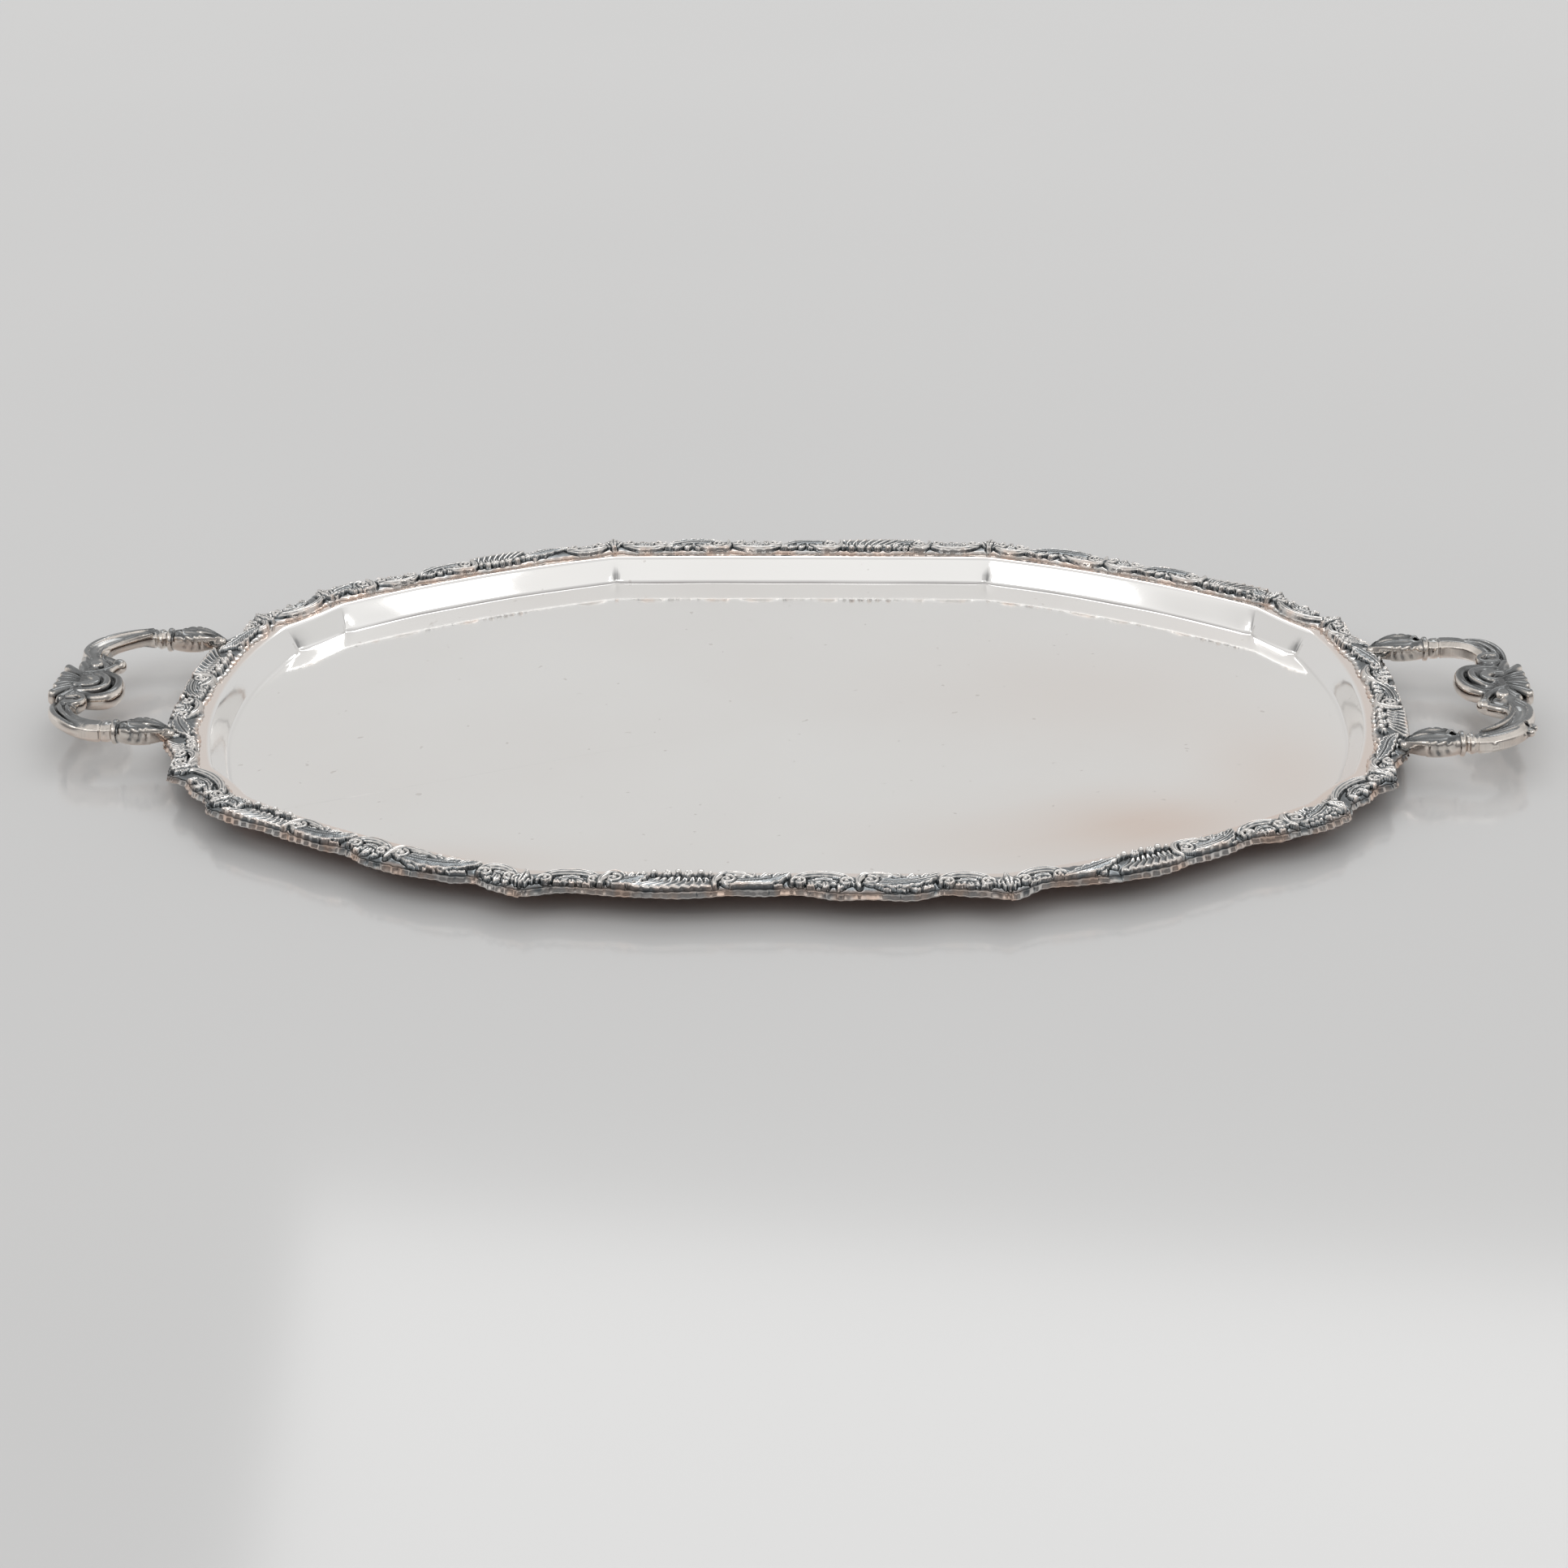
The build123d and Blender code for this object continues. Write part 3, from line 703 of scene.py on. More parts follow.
def tuft(relief, s):
    """Knot of leaf tips where two mounts meet."""
    for spread, reach in ((-4.6, 5.0), (4.6, 5.0), (-2.0, 3.0), (2.0, 3.0)):
        path = curve((s + spread * 0.2, 11.5), (s + spread * 0.7, 7.5), (s + spread, reach), count=16)
        relief.leaf(path, 3.8, BAND_HEIGHT, lobes=2, marks="dots", shade=0.25)
    path = curve((s, 14.5), (s + 0.3, 9), (s - 0.2, 2.2), count=16)
    relief.leaf(path, 4.2, BAND_HEIGHT + 0.4, lobes=3, shade=0.2)
    relief.bud((s, 13.6), 1.6, BAND_HEIGHT + 0.3)


def arch(relief, first, last, rolled_first=True):
    """C-scroll that bridges from first to last with its rolled ends turned under it."""
    span = last - first
    low, high = ARCH_FOOT, ARCH_CREST
    path = curve((first + span * 0.72, 6.5), (first + span * 0.5, 8.6), (first + span * 0.26, 6.6))
    relief.leaf(path, 6.4, 3.0, lobes=4, marks="lines", shade=0.5)
    for share, reach in ((0.3, 2.1), (0.52, 2.5), (0.74, 2.1)):
        path = curve((first + span * share, 8.4), (first + span * (share + 0.02), 5.0),
                     (first + span * (share - 0.03), reach), count=16)
        relief.leaf(path, 3.6, 3.1, lobes=2, marks="dots", shade=0.3)
    path = curve((first + 1.2, low + 2.5), (first + span * 0.1, high - 3.6),
                 (first + span * 0.34, high - 0.6),
                 (first + span * 0.64, high - 0.8), (last - span * 0.12, high - 4.2), (last - 1.4, low + 2.2))
    relief.band(path, 4.6, BAND_HEIGHT, (0.55, 0.5), grooves=3)
    if rolled_first:
        relief.volute((first + 4.3, low + 3.4), 3.1, 170, -1.2, 2.3)
    relief.volute((last - 4.4, low + 3.0), 3.2, 10, 1.25, 2.4)


def scroll_leaf(relief, first, last, marks):
    """C-scroll with a long leaf that springs from its roll and sweeps to the inner edge."""
    span = last - first
    for share, reach in ((0.34, 1.6), (0.5, 1.3), (0.66, 1.5), (0.8, 2.0)):
        path = curve((first + span * (share - 0.07), 7.0), (first + span * share, 4.2),
                     (first + span * (share + 0.03), reach), count=16)
        relief.leaf(path, span * 0.17, 2.9, lobes=2, marks="dots", shade=0.28)
    body = curve((first + 3, 7.6), (first + span * 0.4, 7.0), (first + span * 0.7, 9.0), (last - 1, 14.2))
    relief.leaf(body, 10.5, LEAF_HEIGHT, lobes=7, marks=marks, hook=0.5, shade=0.5)
    for share in (0.42, 0.58, 0.74):
        path = curve((first + span * share, 10.4), (first + span * (share + 0.05), 13.2),
                     (first + span * (share + 0.11), 14.2), count=14)
        relief.leaf(path, 3.4, 3.4, lobes=2, marks="dots", shade=0.15)
    path = curve((first + 0.8, 3.4), (first + 0.5, 9.0), (first + 3.6, 13.8), (first + span * 0.34, 13.6),
                 (first + span * 0.5, 10.6))
    relief.band(path, 4.2, BAND_HEIGHT, (0.4, 0.25), grooves=3)
    relief.volute((first + 5.6, 8.8), 3.4, 100, -1.4, 2.3)


def shell_and_buds(relief, first, last):
    """Leaning fan of hollow flutes on the outer side, with a spray of buds behind it."""
    span = last - first
    flutes = 8
    for i in range(flutes):
        share = (i + 0.5) / flutes
        root = (first + span * (0.2 + 0.64 * share) + 2.6, 11.4 - 1.2 * abs(2 * share - 1))
        tip = (first + span * (0.02 + 0.93 * share), 1.5 + 1.2 * abs(2 * share - 0.9)**2)
        middle = ((root[0] + tip[0]) / 2 + 0.9, (root[1] + tip[1]) / 2)
        relief.flute(curve(root, middle, tip, count=14), span / flutes * 1.22, SHELL_HEIGHT)
    spray = ((0.12, 12.6, 1.5), (0.24, 14.0, 1.9), (0.4, 13.4, 2.5), (0.53, 14.6, 1.7), (0.66, 13.4, 2.6),
             (0.8, 14.4, 1.9), (0.92, 13.2, 1.5))
    for place, (share, t, radius) in enumerate(spray):
        petals = 5 if radius > 2 else 0
        relief.bud((first + span * share, t), radius, 4.1 + 0.1 * (place % 2), petals, turn=place)


def long_leaf(relief, first, last, marks, inward=1):
    """Single acanthus leaf that lies along the border."""
    start, end = (6.0, 12.5) if inward > 0 else (12.5, 6.0)
    span = last - first
    path = curve((first, start), (first + span * 0.35, start + 1.5 * inward), (first + span * 0.7, 10.0),
                 (last, end))
    for share, side in ((0.25, -1), (0.5, -1), (0.72, -1), (0.4, 1), (0.62, 1)):
        foot = path[int(share * (len(path) - 1))]
        tip = foot + np.array((3.0, 5.6 * side))
        relief.leaf(curve(foot, (foot + tip) / 2 + (0.8, 0), tip, count=14), 4.0, 3.0, lobes=2, marks="lines",
                    shade=0.35)
    relief.leaf(path, 8.0, LEAF_HEIGHT, lobes=6, marks=marks, hook=0.4, shade=0.45)


# Forms along each kind of mount: where each starts and ends in millimetres, and its settings
CORNER_PANEL = math.hypot(CORNER_RUN, CORNER_RISE)
DRAWINGS = {
    "centre": [(arch, 5, 34), (scroll_leaf, 32, 52, "dots"), (shell_and_buds, 45, 80),
               (scroll_leaf, 79, 112, "dots"), (arch, 110, 138), (scroll_leaf, 138, 174, "lines"),
               (arch, 171, 196)],
    "leaving": [(arch, 3, 27), (long_leaf, 25, 52, "dots"), (shell_and_buds, 48, 78),
                (scroll_leaf, 77, 112, "lines"), (arch, 110, 135), (scroll_leaf, 135, 152, "veins"),
                (long_leaf, 146, 163, "lines")],
    "arriving": [(long_leaf, -2, 13, "veins", -1), (shell_and_buds, 8, 43), (scroll_leaf, 42, 78, "dots"),
                 (arch, 76, 99), (scroll_leaf, 98, 143, "dots"), (arch, 141, 161)],
    "corner": [(arch, 2, CORNER_PANEL - 2, False)],
    "end": [(arch, 2, 18, False), (long_leaf, 14, 46, "veins", -1), (shell_and_buds, 43, 76),
            (scroll_leaf, 75, 106, "lines"), (arch, 104, 128), (long_leaf, 125, 150, "dots"),
            (shell_and_buds, 150, 168), (arch, 165, 182)],
}
SKIRT_LEVELS = 7
LIP = 0.85  # the skirt's foot flares outwards by this
HOOK = 0.7  # how far a form stands out over the skirt
NICK_PITCH = 19.0  # one casting nick in the skirt for about each of these lengths
NICK_DEPTH = 0.35
NICK_WIDTH = 0.3
FOOT_WAVE = 0.35  # how far the skirt's foot rises and falls
SEAT_OXIDE = 0.2  # shares of oxide and of bare warm metal on a mount's underside
SEAT_COPPER = 0.5
EDGE_HEIGHT = 0.55  # the relief is eased down to this at both edges
OUTER_WAVE = (0.22, 4.4)  # depth and pitch of the ripples along each edge
INNER_WAVE = (0.3, 5.2)


def cast_relief(kind, length, seed):
    """The finished relief of one kind of mount."""
    def outer(along):
        ripple = OUTER_WAVE[0] * np.sin(along * TAU / OUTER_WAVE[1])
        return knots_at(OUTER[kind], along / length) + LIP + ripple

    def inner(along):
        ripple = INNER_WAVE[0] * np.sin(along * TAU / INNER_WAVE[1] + 1)
        return knots_at(INNER[kind], along / length) + ripple

    relief = Relief(length, outer, inner, seed)
    for form, *settings in DRAWINGS[kind]:
        form(relief, *settings)
    for s in (0, length):
        tuft(relief, s)
    ease = np.clip(relief.across / 0.05, 0, 1) * np.clip((1 - relief.across) / 0.06, 0, 1)
    relief.height = EDGE_HEIGHT + (relief.height - EDGE_HEIGHT) * ease**0.6
    return relief


def make_mount(index, relief, material):
    """Closed casting: the relief on top, a notched skirt outside and a flat seat on the flange."""
    panel = PANELS[index]
    share = relief.s / relief.length
    edge, inner = relief.t[:, :1], relief.t[:, -1:]
    rise = relief.height[:, :1]
    level = np.linspace(0, 1, SKIRT_LEVELS)
    along = relief.s[:, :1]
    foot = -SKIRT_DROP + FOOT_WAVE + FOOT_WAVE * np.sin(along / 4.7 + index)
    drop = foot + (rise - foot) * level[:-1]
    nicks = np.random.default_rng(index + 40).uniform(0, relief.length, int(relief.length / NICK_PITCH))
    notch = sum(np.exp(-((along - nick) / NICK_WIDTH)**2) for nick in nicks).clip(0, 1) * NICK_DEPTH
    notch = notch * np.sin(math.pi * level[:-1])
    form = np.clip((relief.height[:, 5:8].mean(1, keepdims=True) - 1.3) / 1.6, 0, 1)
    hook = HOOK * form * level[:-1]**0.7
    ripple = 0.5 + 0.3 * np.sin(along / 2.1 + index) + 0.2 * np.sin(along / 0.83)
    roll = LIP * (1 - level[:-1])**1.6 * (0.75 + 0.25 * ripple)
    skirt_t = edge + HOOK * level[:-1] - hook - roll + notch
    under_t = np.concatenate((inner, edge + SKIRT_WALL, edge + SKIRT_WALL), 1)
    under_z = np.concatenate((0 * inner, 0 * inner, foot), 1)
    t = np.concatenate((relief.t, under_t, skirt_t), 1)
    z = RIM_HEIGHT + np.concatenate((relief.height, under_z, drop), 1)
    across = t.shape[1]
    plan = arc_point(index, np.repeat(share[:, :1], across, 1), np.maximum(t, 0.02))
    points = np.concatenate((plan, z[..., None]), -1).reshape(-1, 3)
    rows = relief.rows
    first = np.arange(rows - 1)[:, None] * across + np.arange(across)
    ahead = np.arange(rows - 1)[:, None] * across + (np.arange(across) + 1) % across
    faces = np.stack((first, first + across, ahead + across, ahead), -1).reshape(-1, 4).tolist()
    faces.append(tuple(range(across)))
    faces.append(tuple(range(rows * across - 1, (rows - 1) * across - 1, -1)))
    dark = relief.dark_share()
    skirt_dark = np.clip(0.8 * level[:-1]**0.8 * (1 - form) * ripple + 0.04 + 1.4 * notch, 0, 1)
    dark_share = np.concatenate((dark, np.full(under_t.shape, SEAT_OXIDE), skirt_dark), 1)
    bare = np.clip(1 - relief.across / 0.14, 0, 1) * 0.8 + 0.9 * np.clip((relief.across - 0.8) / 0.2, 0, 1)
    copper = np.concatenate((bare, np.full(under_t.shape, SEAT_COPPER), np.ones(skirt_t.shape)), 1)
    make_piece(f"border_{panel.name}", points, faces, material, "cast_border", f"mount_{panel.name}",
               attributes={"dark_share": dark_share.ravel(), "copper": copper.ravel()})


# ======== Cast handles ========
# The handle's own frame has x out along the tilted grip from the shoulders' mouths, y along the
# tray's Y and z square to both. Every form is a stroke in its x-y plane with a width and a height.
HANDLE_TILT = 3.0
HANDLE_LIFT = 3.4
BACK_ARM = 51.0
FRONT_ARM = 57.0
SHOULDER_LENGTH = 17.0
SHOULDER_LAP = 10.0
MOUTH_OVERHANG = 0.26  # the tilt carries the shoulder's upper rim this far past its mouth's middle
GRIP_HALF_HEIGHT = 4.8
BEVEL = 0.5  # how much a bevelled bar's corners are cut, where 1 would make a diamond
BOW_STEP = 0.4  # spacing of the bow's grid
SHOULDER_STEP = 0.32
BOW_INNER_END = -1.9  # the bow is cut off here, inside the shoulders
BOW_REACH = 38.4  # and here on the outside
BOW_TOP = 6.3  # height over the handle's axis that nothing on the bow passes
BEAD_X = 3.0
GROOVE_X = 5.2  # centre of the groove beyond each bead
NECK_RADIUS = 3.2
SHELL_ROOT = (21.5, 4.0)
SHELL_RIBS = 7
FAR = 50.0  # distance that an empty grid holds
NEAR_PROBE = 1.2  # how far off the surface a narrow recess and a wide one are felt for
WIDE_PROBE = 3.0


def smooth_union(a, b, blend):
    """Distance to both forms together, rounded over blend where they meet."""
    share = np.clip(0.5 + 0.5 * (b - a) / blend, 0, 1)
    return b + (a - b) * share - blend * share * (1 - share)


def arched(ends, rise, power=1.0):
    """A size that grows from ends by rise in the middle of a stroke, and falls back."""
    return lambda share: ends + rise * np.sin(math.pi * share)**power


def sloped(start, change):
    """A size that changes evenly along a stroke."""
    return lambda share: start + change * share


class Casting:
    """Signed distance of a casting on a grid in the handle's frame, built up from strokes."""

    def __init__(self, low, high, step):
        self.low, self.step = np.array(low, float), step
        counts = [int((b - a) / step) + 1 for a, b in zip(low, high)]
        self.axes = [a + step * np.arange(n) for a, n in zip(low, counts)]
        self.x, self.y = np.meshgrid(self.axes[0], self.axes[1], indexing="ij")
        self.z = self.axes[2][None, None, :]
        self.field = np.full(counts, FAR)

    def add(self, form, blend):
        self.field = smooth_union(self.field, form, blend)

    def cut(self, outside):
        """Takes away the casting where outside is positive."""
        self.field = np.maximum(self.field, outside)

    def stroke(self, path, width, height, blend, lift=0.0, power=2.0, bevelled=False):
        """Adds a bar along the path. Its sizes may be functions of the share of the path's length."""
        away, share, _ = follow(path, self.x, self.y)
        sizes = (size(share) if callable(size) else size for size in (width, height, lift))
        half, tall, raised = (np.broadcast_to(size, share.shape)[..., None] for size in sizes)
        across = away[..., None] / half
        level = (self.z - raised) / tall
        bar = ((across**power + np.abs(level)**power)**(1 / power) - 1) * np.minimum(half, tall)
        if bevelled:
            chamfer = (across + np.abs(level) - (2 - BEVEL)) * 0.7071 * GRIP_HALF_HEIGHT
            bar = np.maximum(bar, chamfer)
        self.add(bar, blend)

    def collar(self, x, y, radius, half_length, rounding, blend, flatness=1.0):
        """Adds a rounded ring round an arm. Radius and half_length are those of its core."""
        away = np.sqrt((self.y[..., None] - y)**2 + (self.z * flatness)**2)
        along = np.abs(self.x[..., None] - x)
        core = np.hypot(np.maximum(0, along - half_length), np.maximum(0, away - radius))
        self.add(core - rounding, blend)

    def ball(self, centre, radius, blend):
        x, y, z = centre
        away = np.sqrt((self.x - x)**2 + (self.y - y)**2)[..., None]
        self.add(np.sqrt(away**2 + (self.z - z)**2) - radius, blend)

    def carve(self, depth):
        """Pushes the surface in by depth, a map over the x-y plane. Negative depths raise it."""
        self.field = self.field + depth[..., None]

    def groove(self, path, width, depth):
        """Sinks a groove along the path that fades out at both ends."""
        away, share, _ = follow(path, self.x, self.y)
        ends = np.clip(np.minimum(share, 1 - share) / 0.12, 0, 1)
        self.carve(depth * ends * np.exp(-(away / width)**2))

    def hole(self, centre, radius, depth_to):
        """A round pit from above down to the height depth_to."""
        away = np.hypot(self.x - centre[0], self.y - centre[1])[..., None]
        self.cut(-np.maximum(away - radius, depth_to - self.z))

    def skin(self):
        """Surface net of the zero level: its points and quads, and what recess says of the points."""
        field = self.field
        below = field < 0
        nx, ny, nz = field.shape
        cells = np.zeros((nx - 1, ny - 1, nz - 1), np.int8)
        corners = [(i, j, k) for i in (0, 1) for j in (0, 1) for k in (0, 1)]
        for i, j, k in corners:
            cells += below[i:nx - 1 + i, j:ny - 1 + j, k:nz - 1 + k]
        active = np.argwhere((cells > 0) & (cells < 8))
        number = np.full(cells.shape, -1, np.int64)
        number[tuple(active.T)] = np.arange(len(active))
        total, crossings = np.zeros((len(active), 3)), np.zeros(len(active))
        for a in corners:
            for axis in range(3):
                if a[axis]:
                    continue
                b = tuple(v + (n == axis) for n, v in enumerate(a))
                at_a = field[tuple((active + a).T)]
                at_b = field[tuple((active + b).T)]
                crosses = (at_a < 0) != (at_b < 0)
                share = np.where(crosses, at_a / np.where(crosses, at_a - at_b, 1), 0)
                point = np.array(a) + share[:, None] * (np.array(b) - np.array(a))
                total += point * crosses[:, None]
                crossings += crosses
        points = self.low + self.step * (active + total / crossings[:, None])
        faces = []
        for axis in range(3):
            one, two = (axis + 1) % 3, (axis + 2) % 3
            inner = [slice(1, -1)] * 3
            inner[axis] = slice(0, -1)
            ahead = list(inner)
            ahead[axis] = slice(1, None)
            flips = below[tuple(inner)] != below[tuple(ahead)]
            where = np.argwhere(flips)
            where[:, (one, two)] += 1
            quad = []
            for back_one, back_two in ((0, 0), (1, 0), (1, 1), (0, 1)):
                cell = where.copy()
                cell[:, one] -= back_one
                cell[:, two] -= back_two
                quad.append(number[tuple(cell.T)])
            quad = np.stack(quad, 1)
            outward = below[tuple(where.T)]
            quad[~outward] = quad[~outward][:, ::-1]
            faces.append(quad)
        return points, np.concatenate(faces), self.recess(points)

    def sample(self, points):
        """The field at points, to the nearest grid point."""
        cell = np.rint((points - self.low) / self.step).astype(int)
        for axis, size in enumerate(self.field.shape):
            cell[:, axis] = np.clip(cell[:, axis], 0, size - 1)
        return self.field[tuple(cell.T)]

    def recess(self, points):
        """How deep each point is in a narrow recess and in a wide one, from 0 when open, and its normal."""
        step = self.step * 1.5
        slope = np.stack([self.sample(points + step * axis) - self.sample(points - step * axis)
                          for axis in np.eye(3)], 1)
        normal = slope / np.maximum(1e-6, np.linalg.norm(slope, axis=1, keepdims=True))
        near = 1 - self.sample(points + normal * NEAR_PROBE) / NEAR_PROBE
        wide = 1 - self.sample(points + normal * WIDE_PROBE) / WIDE_PROBE
        return near, wide, normal


def to_tray(points, half_turn):
    """Points from the handle's frame to the tray's, for the right handle or turned half round."""
    tilt = math.radians(HANDLE_TILT)
    along = np.array((math.cos(tilt), 0, math.sin(tilt)))
    up = np.array((-math.sin(tilt), 0, math.cos(tilt)))
    place = points[:, :1] * along + points[:, 1:2] * (0, 1, 0) + points[:, 2:] * up
    place = place + (mouth_x - MOUTH_OVERHANG, 0, RIM_HEIGHT + HANDLE_LIFT)
    return place * (-1, -1, 1) if half_turn else place


def draw_bow():
    """The right bow: two arms and a grip with leaf, scroll, curl and shell, end beads and necks."""
    bow = Casting((-2.5, -66, -7.4), (39.6, 59.4, 8.2), BOW_STEP)
    back_run = curve((3, BACK_ARM), (8, BACK_ARM + 0.4), (13.5, BACK_ARM - 0.8), (19.5, BACK_ARM - 4.4),
                     (24.2, BACK_ARM - 11), (26.8, 30), (27.6, 18), (27.4, 8), count=70)
    front_run = curve((3, -FRONT_ARM), (8, -FRONT_ARM - 0.2), (14, 1.4 - FRONT_ARM), (20, 5 - FRONT_ARM),
                      (25, 11 - FRONT_ARM), (28.4, -37), (28.6, -26), (26.4, -12), (25, 4), count=70)
    bow.stroke(back_run, sloped(5.0, -0.9), lambda share: 4.4 - 0.9 * np.clip(3 * share - 1, 0, 1), 0.5,
               power=7, bevelled=True)
    bow.stroke(front_run, arched(4.3, 1.5), sloped(4.1, -0.4), 1.2, power=4, bevelled=True)
    # Leaf that wraps the back bend in three ridges, with a spoon-shaped cup at its end
    ridges = [([(12.5, 54.4), (20, 51.6), (27.5, 45), (31.8, 36), (33, 26)], 1.8, 1.6),
              ([(14, 50.2), (20.5, 47), (26.4, 40.6), (29.4, 33), (28.6, 25.5)], 1.7, 2.3),
              ([(17.5, 45.6), (22, 41.4), (25, 36), (25.4, 31), (22.6, 27.4)], 1.6, 1.7)]
    for points, half, lift in ridges:
        ridge = curve(*points, count=40)
        bow.stroke(ridge, arched(0.5, half, 0.6), arched(1.6, half, 0.6), 0.45, lift=arched(0, lift))
    cup = curve((28, 31), (24.2, 31.6), (20.6, 28.6), (20.6, 24.4), (24, 22), (28, 23.4))
    bow.stroke(cup, 1.7, 3.4, 0.5, lift=1.9)
    bow.stroke(curve((28, 27), (24, 26.6)), 4.0, 3.6, 0.6)
    # Large scroll that stands inwards: nested ridges that spring from the shell's root
    nest = [([(26, 20.6), (18, 20.2), (12.2, 18.0), (9.2, 12.8), (8.8, 6), (10.8, -1.2), (15.0, -6.2),
              (19, -8.4)], 3.0, 0.0),
            ([(26.8, 15.4), (20, 15.4), (15, 12.6), (13.8, 8), (15.0, 2.4), (18.4, -2.6), (22, -4.4)],
             2.8, 1.3),
            ([(28.2, 9.8), (23, 9.8), (19.4, 7.2), (20.2, 3.4), (24.0, 1.0)], 2.7, 1.9)]
    for points, half, lift in nest:
        ridge = curve(*points, count=60)
        tall = arched(0.6 * half + 1.6, 0.4 * half)
        bow.stroke(ridge, arched(0.55 * half, 0.45 * half), tall, 0.6, lift=lift)
    bow.groove(curve((24, 18), (16, 16.4), (11.8, 10.6), (12.4, 3.2), (17.4, -4.8)), 0.4, 0.5)
    bow.stroke(curve((24, 17), (17, 12), (16, 4), (20, -4)), 5.4, 3.7, 0.8, lift=-0.6)
    # Small curl that ends in a ball, with a knob over it
    curl = curve((27, -4.6), (22, -7.2), (18.2, -11.2), (16, -16.4), count=40)
    bow.stroke(curl, sloped(2.7, -0.7), sloped(4.0, -0.6), 0.5, lift=0.4)
    bow.stroke(curve((15.6, -20.6), (19.4, -23.6), (23.6, -26.4), (27, -31), count=30), 2.2, 3.2, 0.8)
    bow.stroke(curve((26, -11), (21.6, -15), (21.4, -19), (25.4, -23)), 3.4, 2.7, 0.6, lift=-0.3)
    bow.ball((14.9, -19.8, 0.9), 3.5, 0.3)
    bow.ball((24.0, -13.8, 2.8), 3.2, 0.5)
    # Shell fan on the outside
    for angle in np.linspace(-64, 62, SHELL_RIBS):
        turn = math.radians(angle)
        reach = min(15.0 / max(0.3, math.cos(turn)), 20.5)
        way = np.array((math.cos(turn), math.sin(turn)))
        root = np.array(SHELL_ROOT) + 5 * way
        tip = np.array(SHELL_ROOT) + reach * way + (0, 1.2 * math.sin(turn))
        rib = curve(root, (root + tip) / 2 + (0, -0.5), tip)
        bow.stroke(rib, sloped(1.0, 1.7), sloped(2.6, 1.5), 0.35, lift=arched(0.4, 0.6))
    # Ridges that twist down the front arm over a hollow, and cusps outside its bend
    twist = curve((29, -21), (33, -29), (31.4, -39), (25, -48), (16, -54.6), (7.6, -58.4), count=60)
    bow.stroke(twist, arched(0.9, 1.3), 3.2, 0.5, lift=1.9)
    inner = curve((25, -24), (25.6, -32), (21.4, -41), (14.4, -48.6), (7.4, -53.4), count=60)
    bow.stroke(inner, arched(0.8, 1.0), 3.4, 0.5, lift=1.4)
    bow.groove(curve((28, -28), (28, -36), (23, -45), (15, -52), (8, -56)), 1.3, 0.7)
    for x, y, size in ((32.6, -45.0, 1.7), (30.4, -49.4, 2.0), (27.0, -52.0, 1.3), (12.5, -60.4, 1.4)):
        bow.ball((x, y, 0.4), size, 0.7)
    bow.hole((28.9, -46.4), 1.1, 1.6)
    # Hollows along the back leaf
    bow.groove(curve((15, 52), (22.6, 48), (28.2, 41), (30.6, 31)), 0.6, 0.45)
    bow.groove(curve((16, 48.4), (22, 44.4), (26, 38), (27.2, 30)), 0.55, 0.45)
    # An end bead, a neck and a groove on each arm
    for y in (BACK_ARM, -FRONT_ARM):
        bow.collar(BEAD_X, y, 4.4, 0.1, 1.0, 0.25, flatness=1.12)
        neck = np.sqrt((bow.y[..., None] - y)**2 + bow.z**2) - NECK_RADIUS
        bow.add(np.maximum(neck, bow.x[..., None] - BEAD_X), 0.3)
        bow.carve(0.7 * np.exp(-((bow.x - GROOVE_X) / 0.4)**2) * (np.abs(bow.y - y) < 8))
    x = bow.x[..., None]
    bow.cut(BOW_INNER_END - x)
    bow.cut(x - BOW_REACH)
    bow.cut(bow.z + math.tan(math.radians(HANDLE_TILT)) * x - BOW_TOP)
    return bow


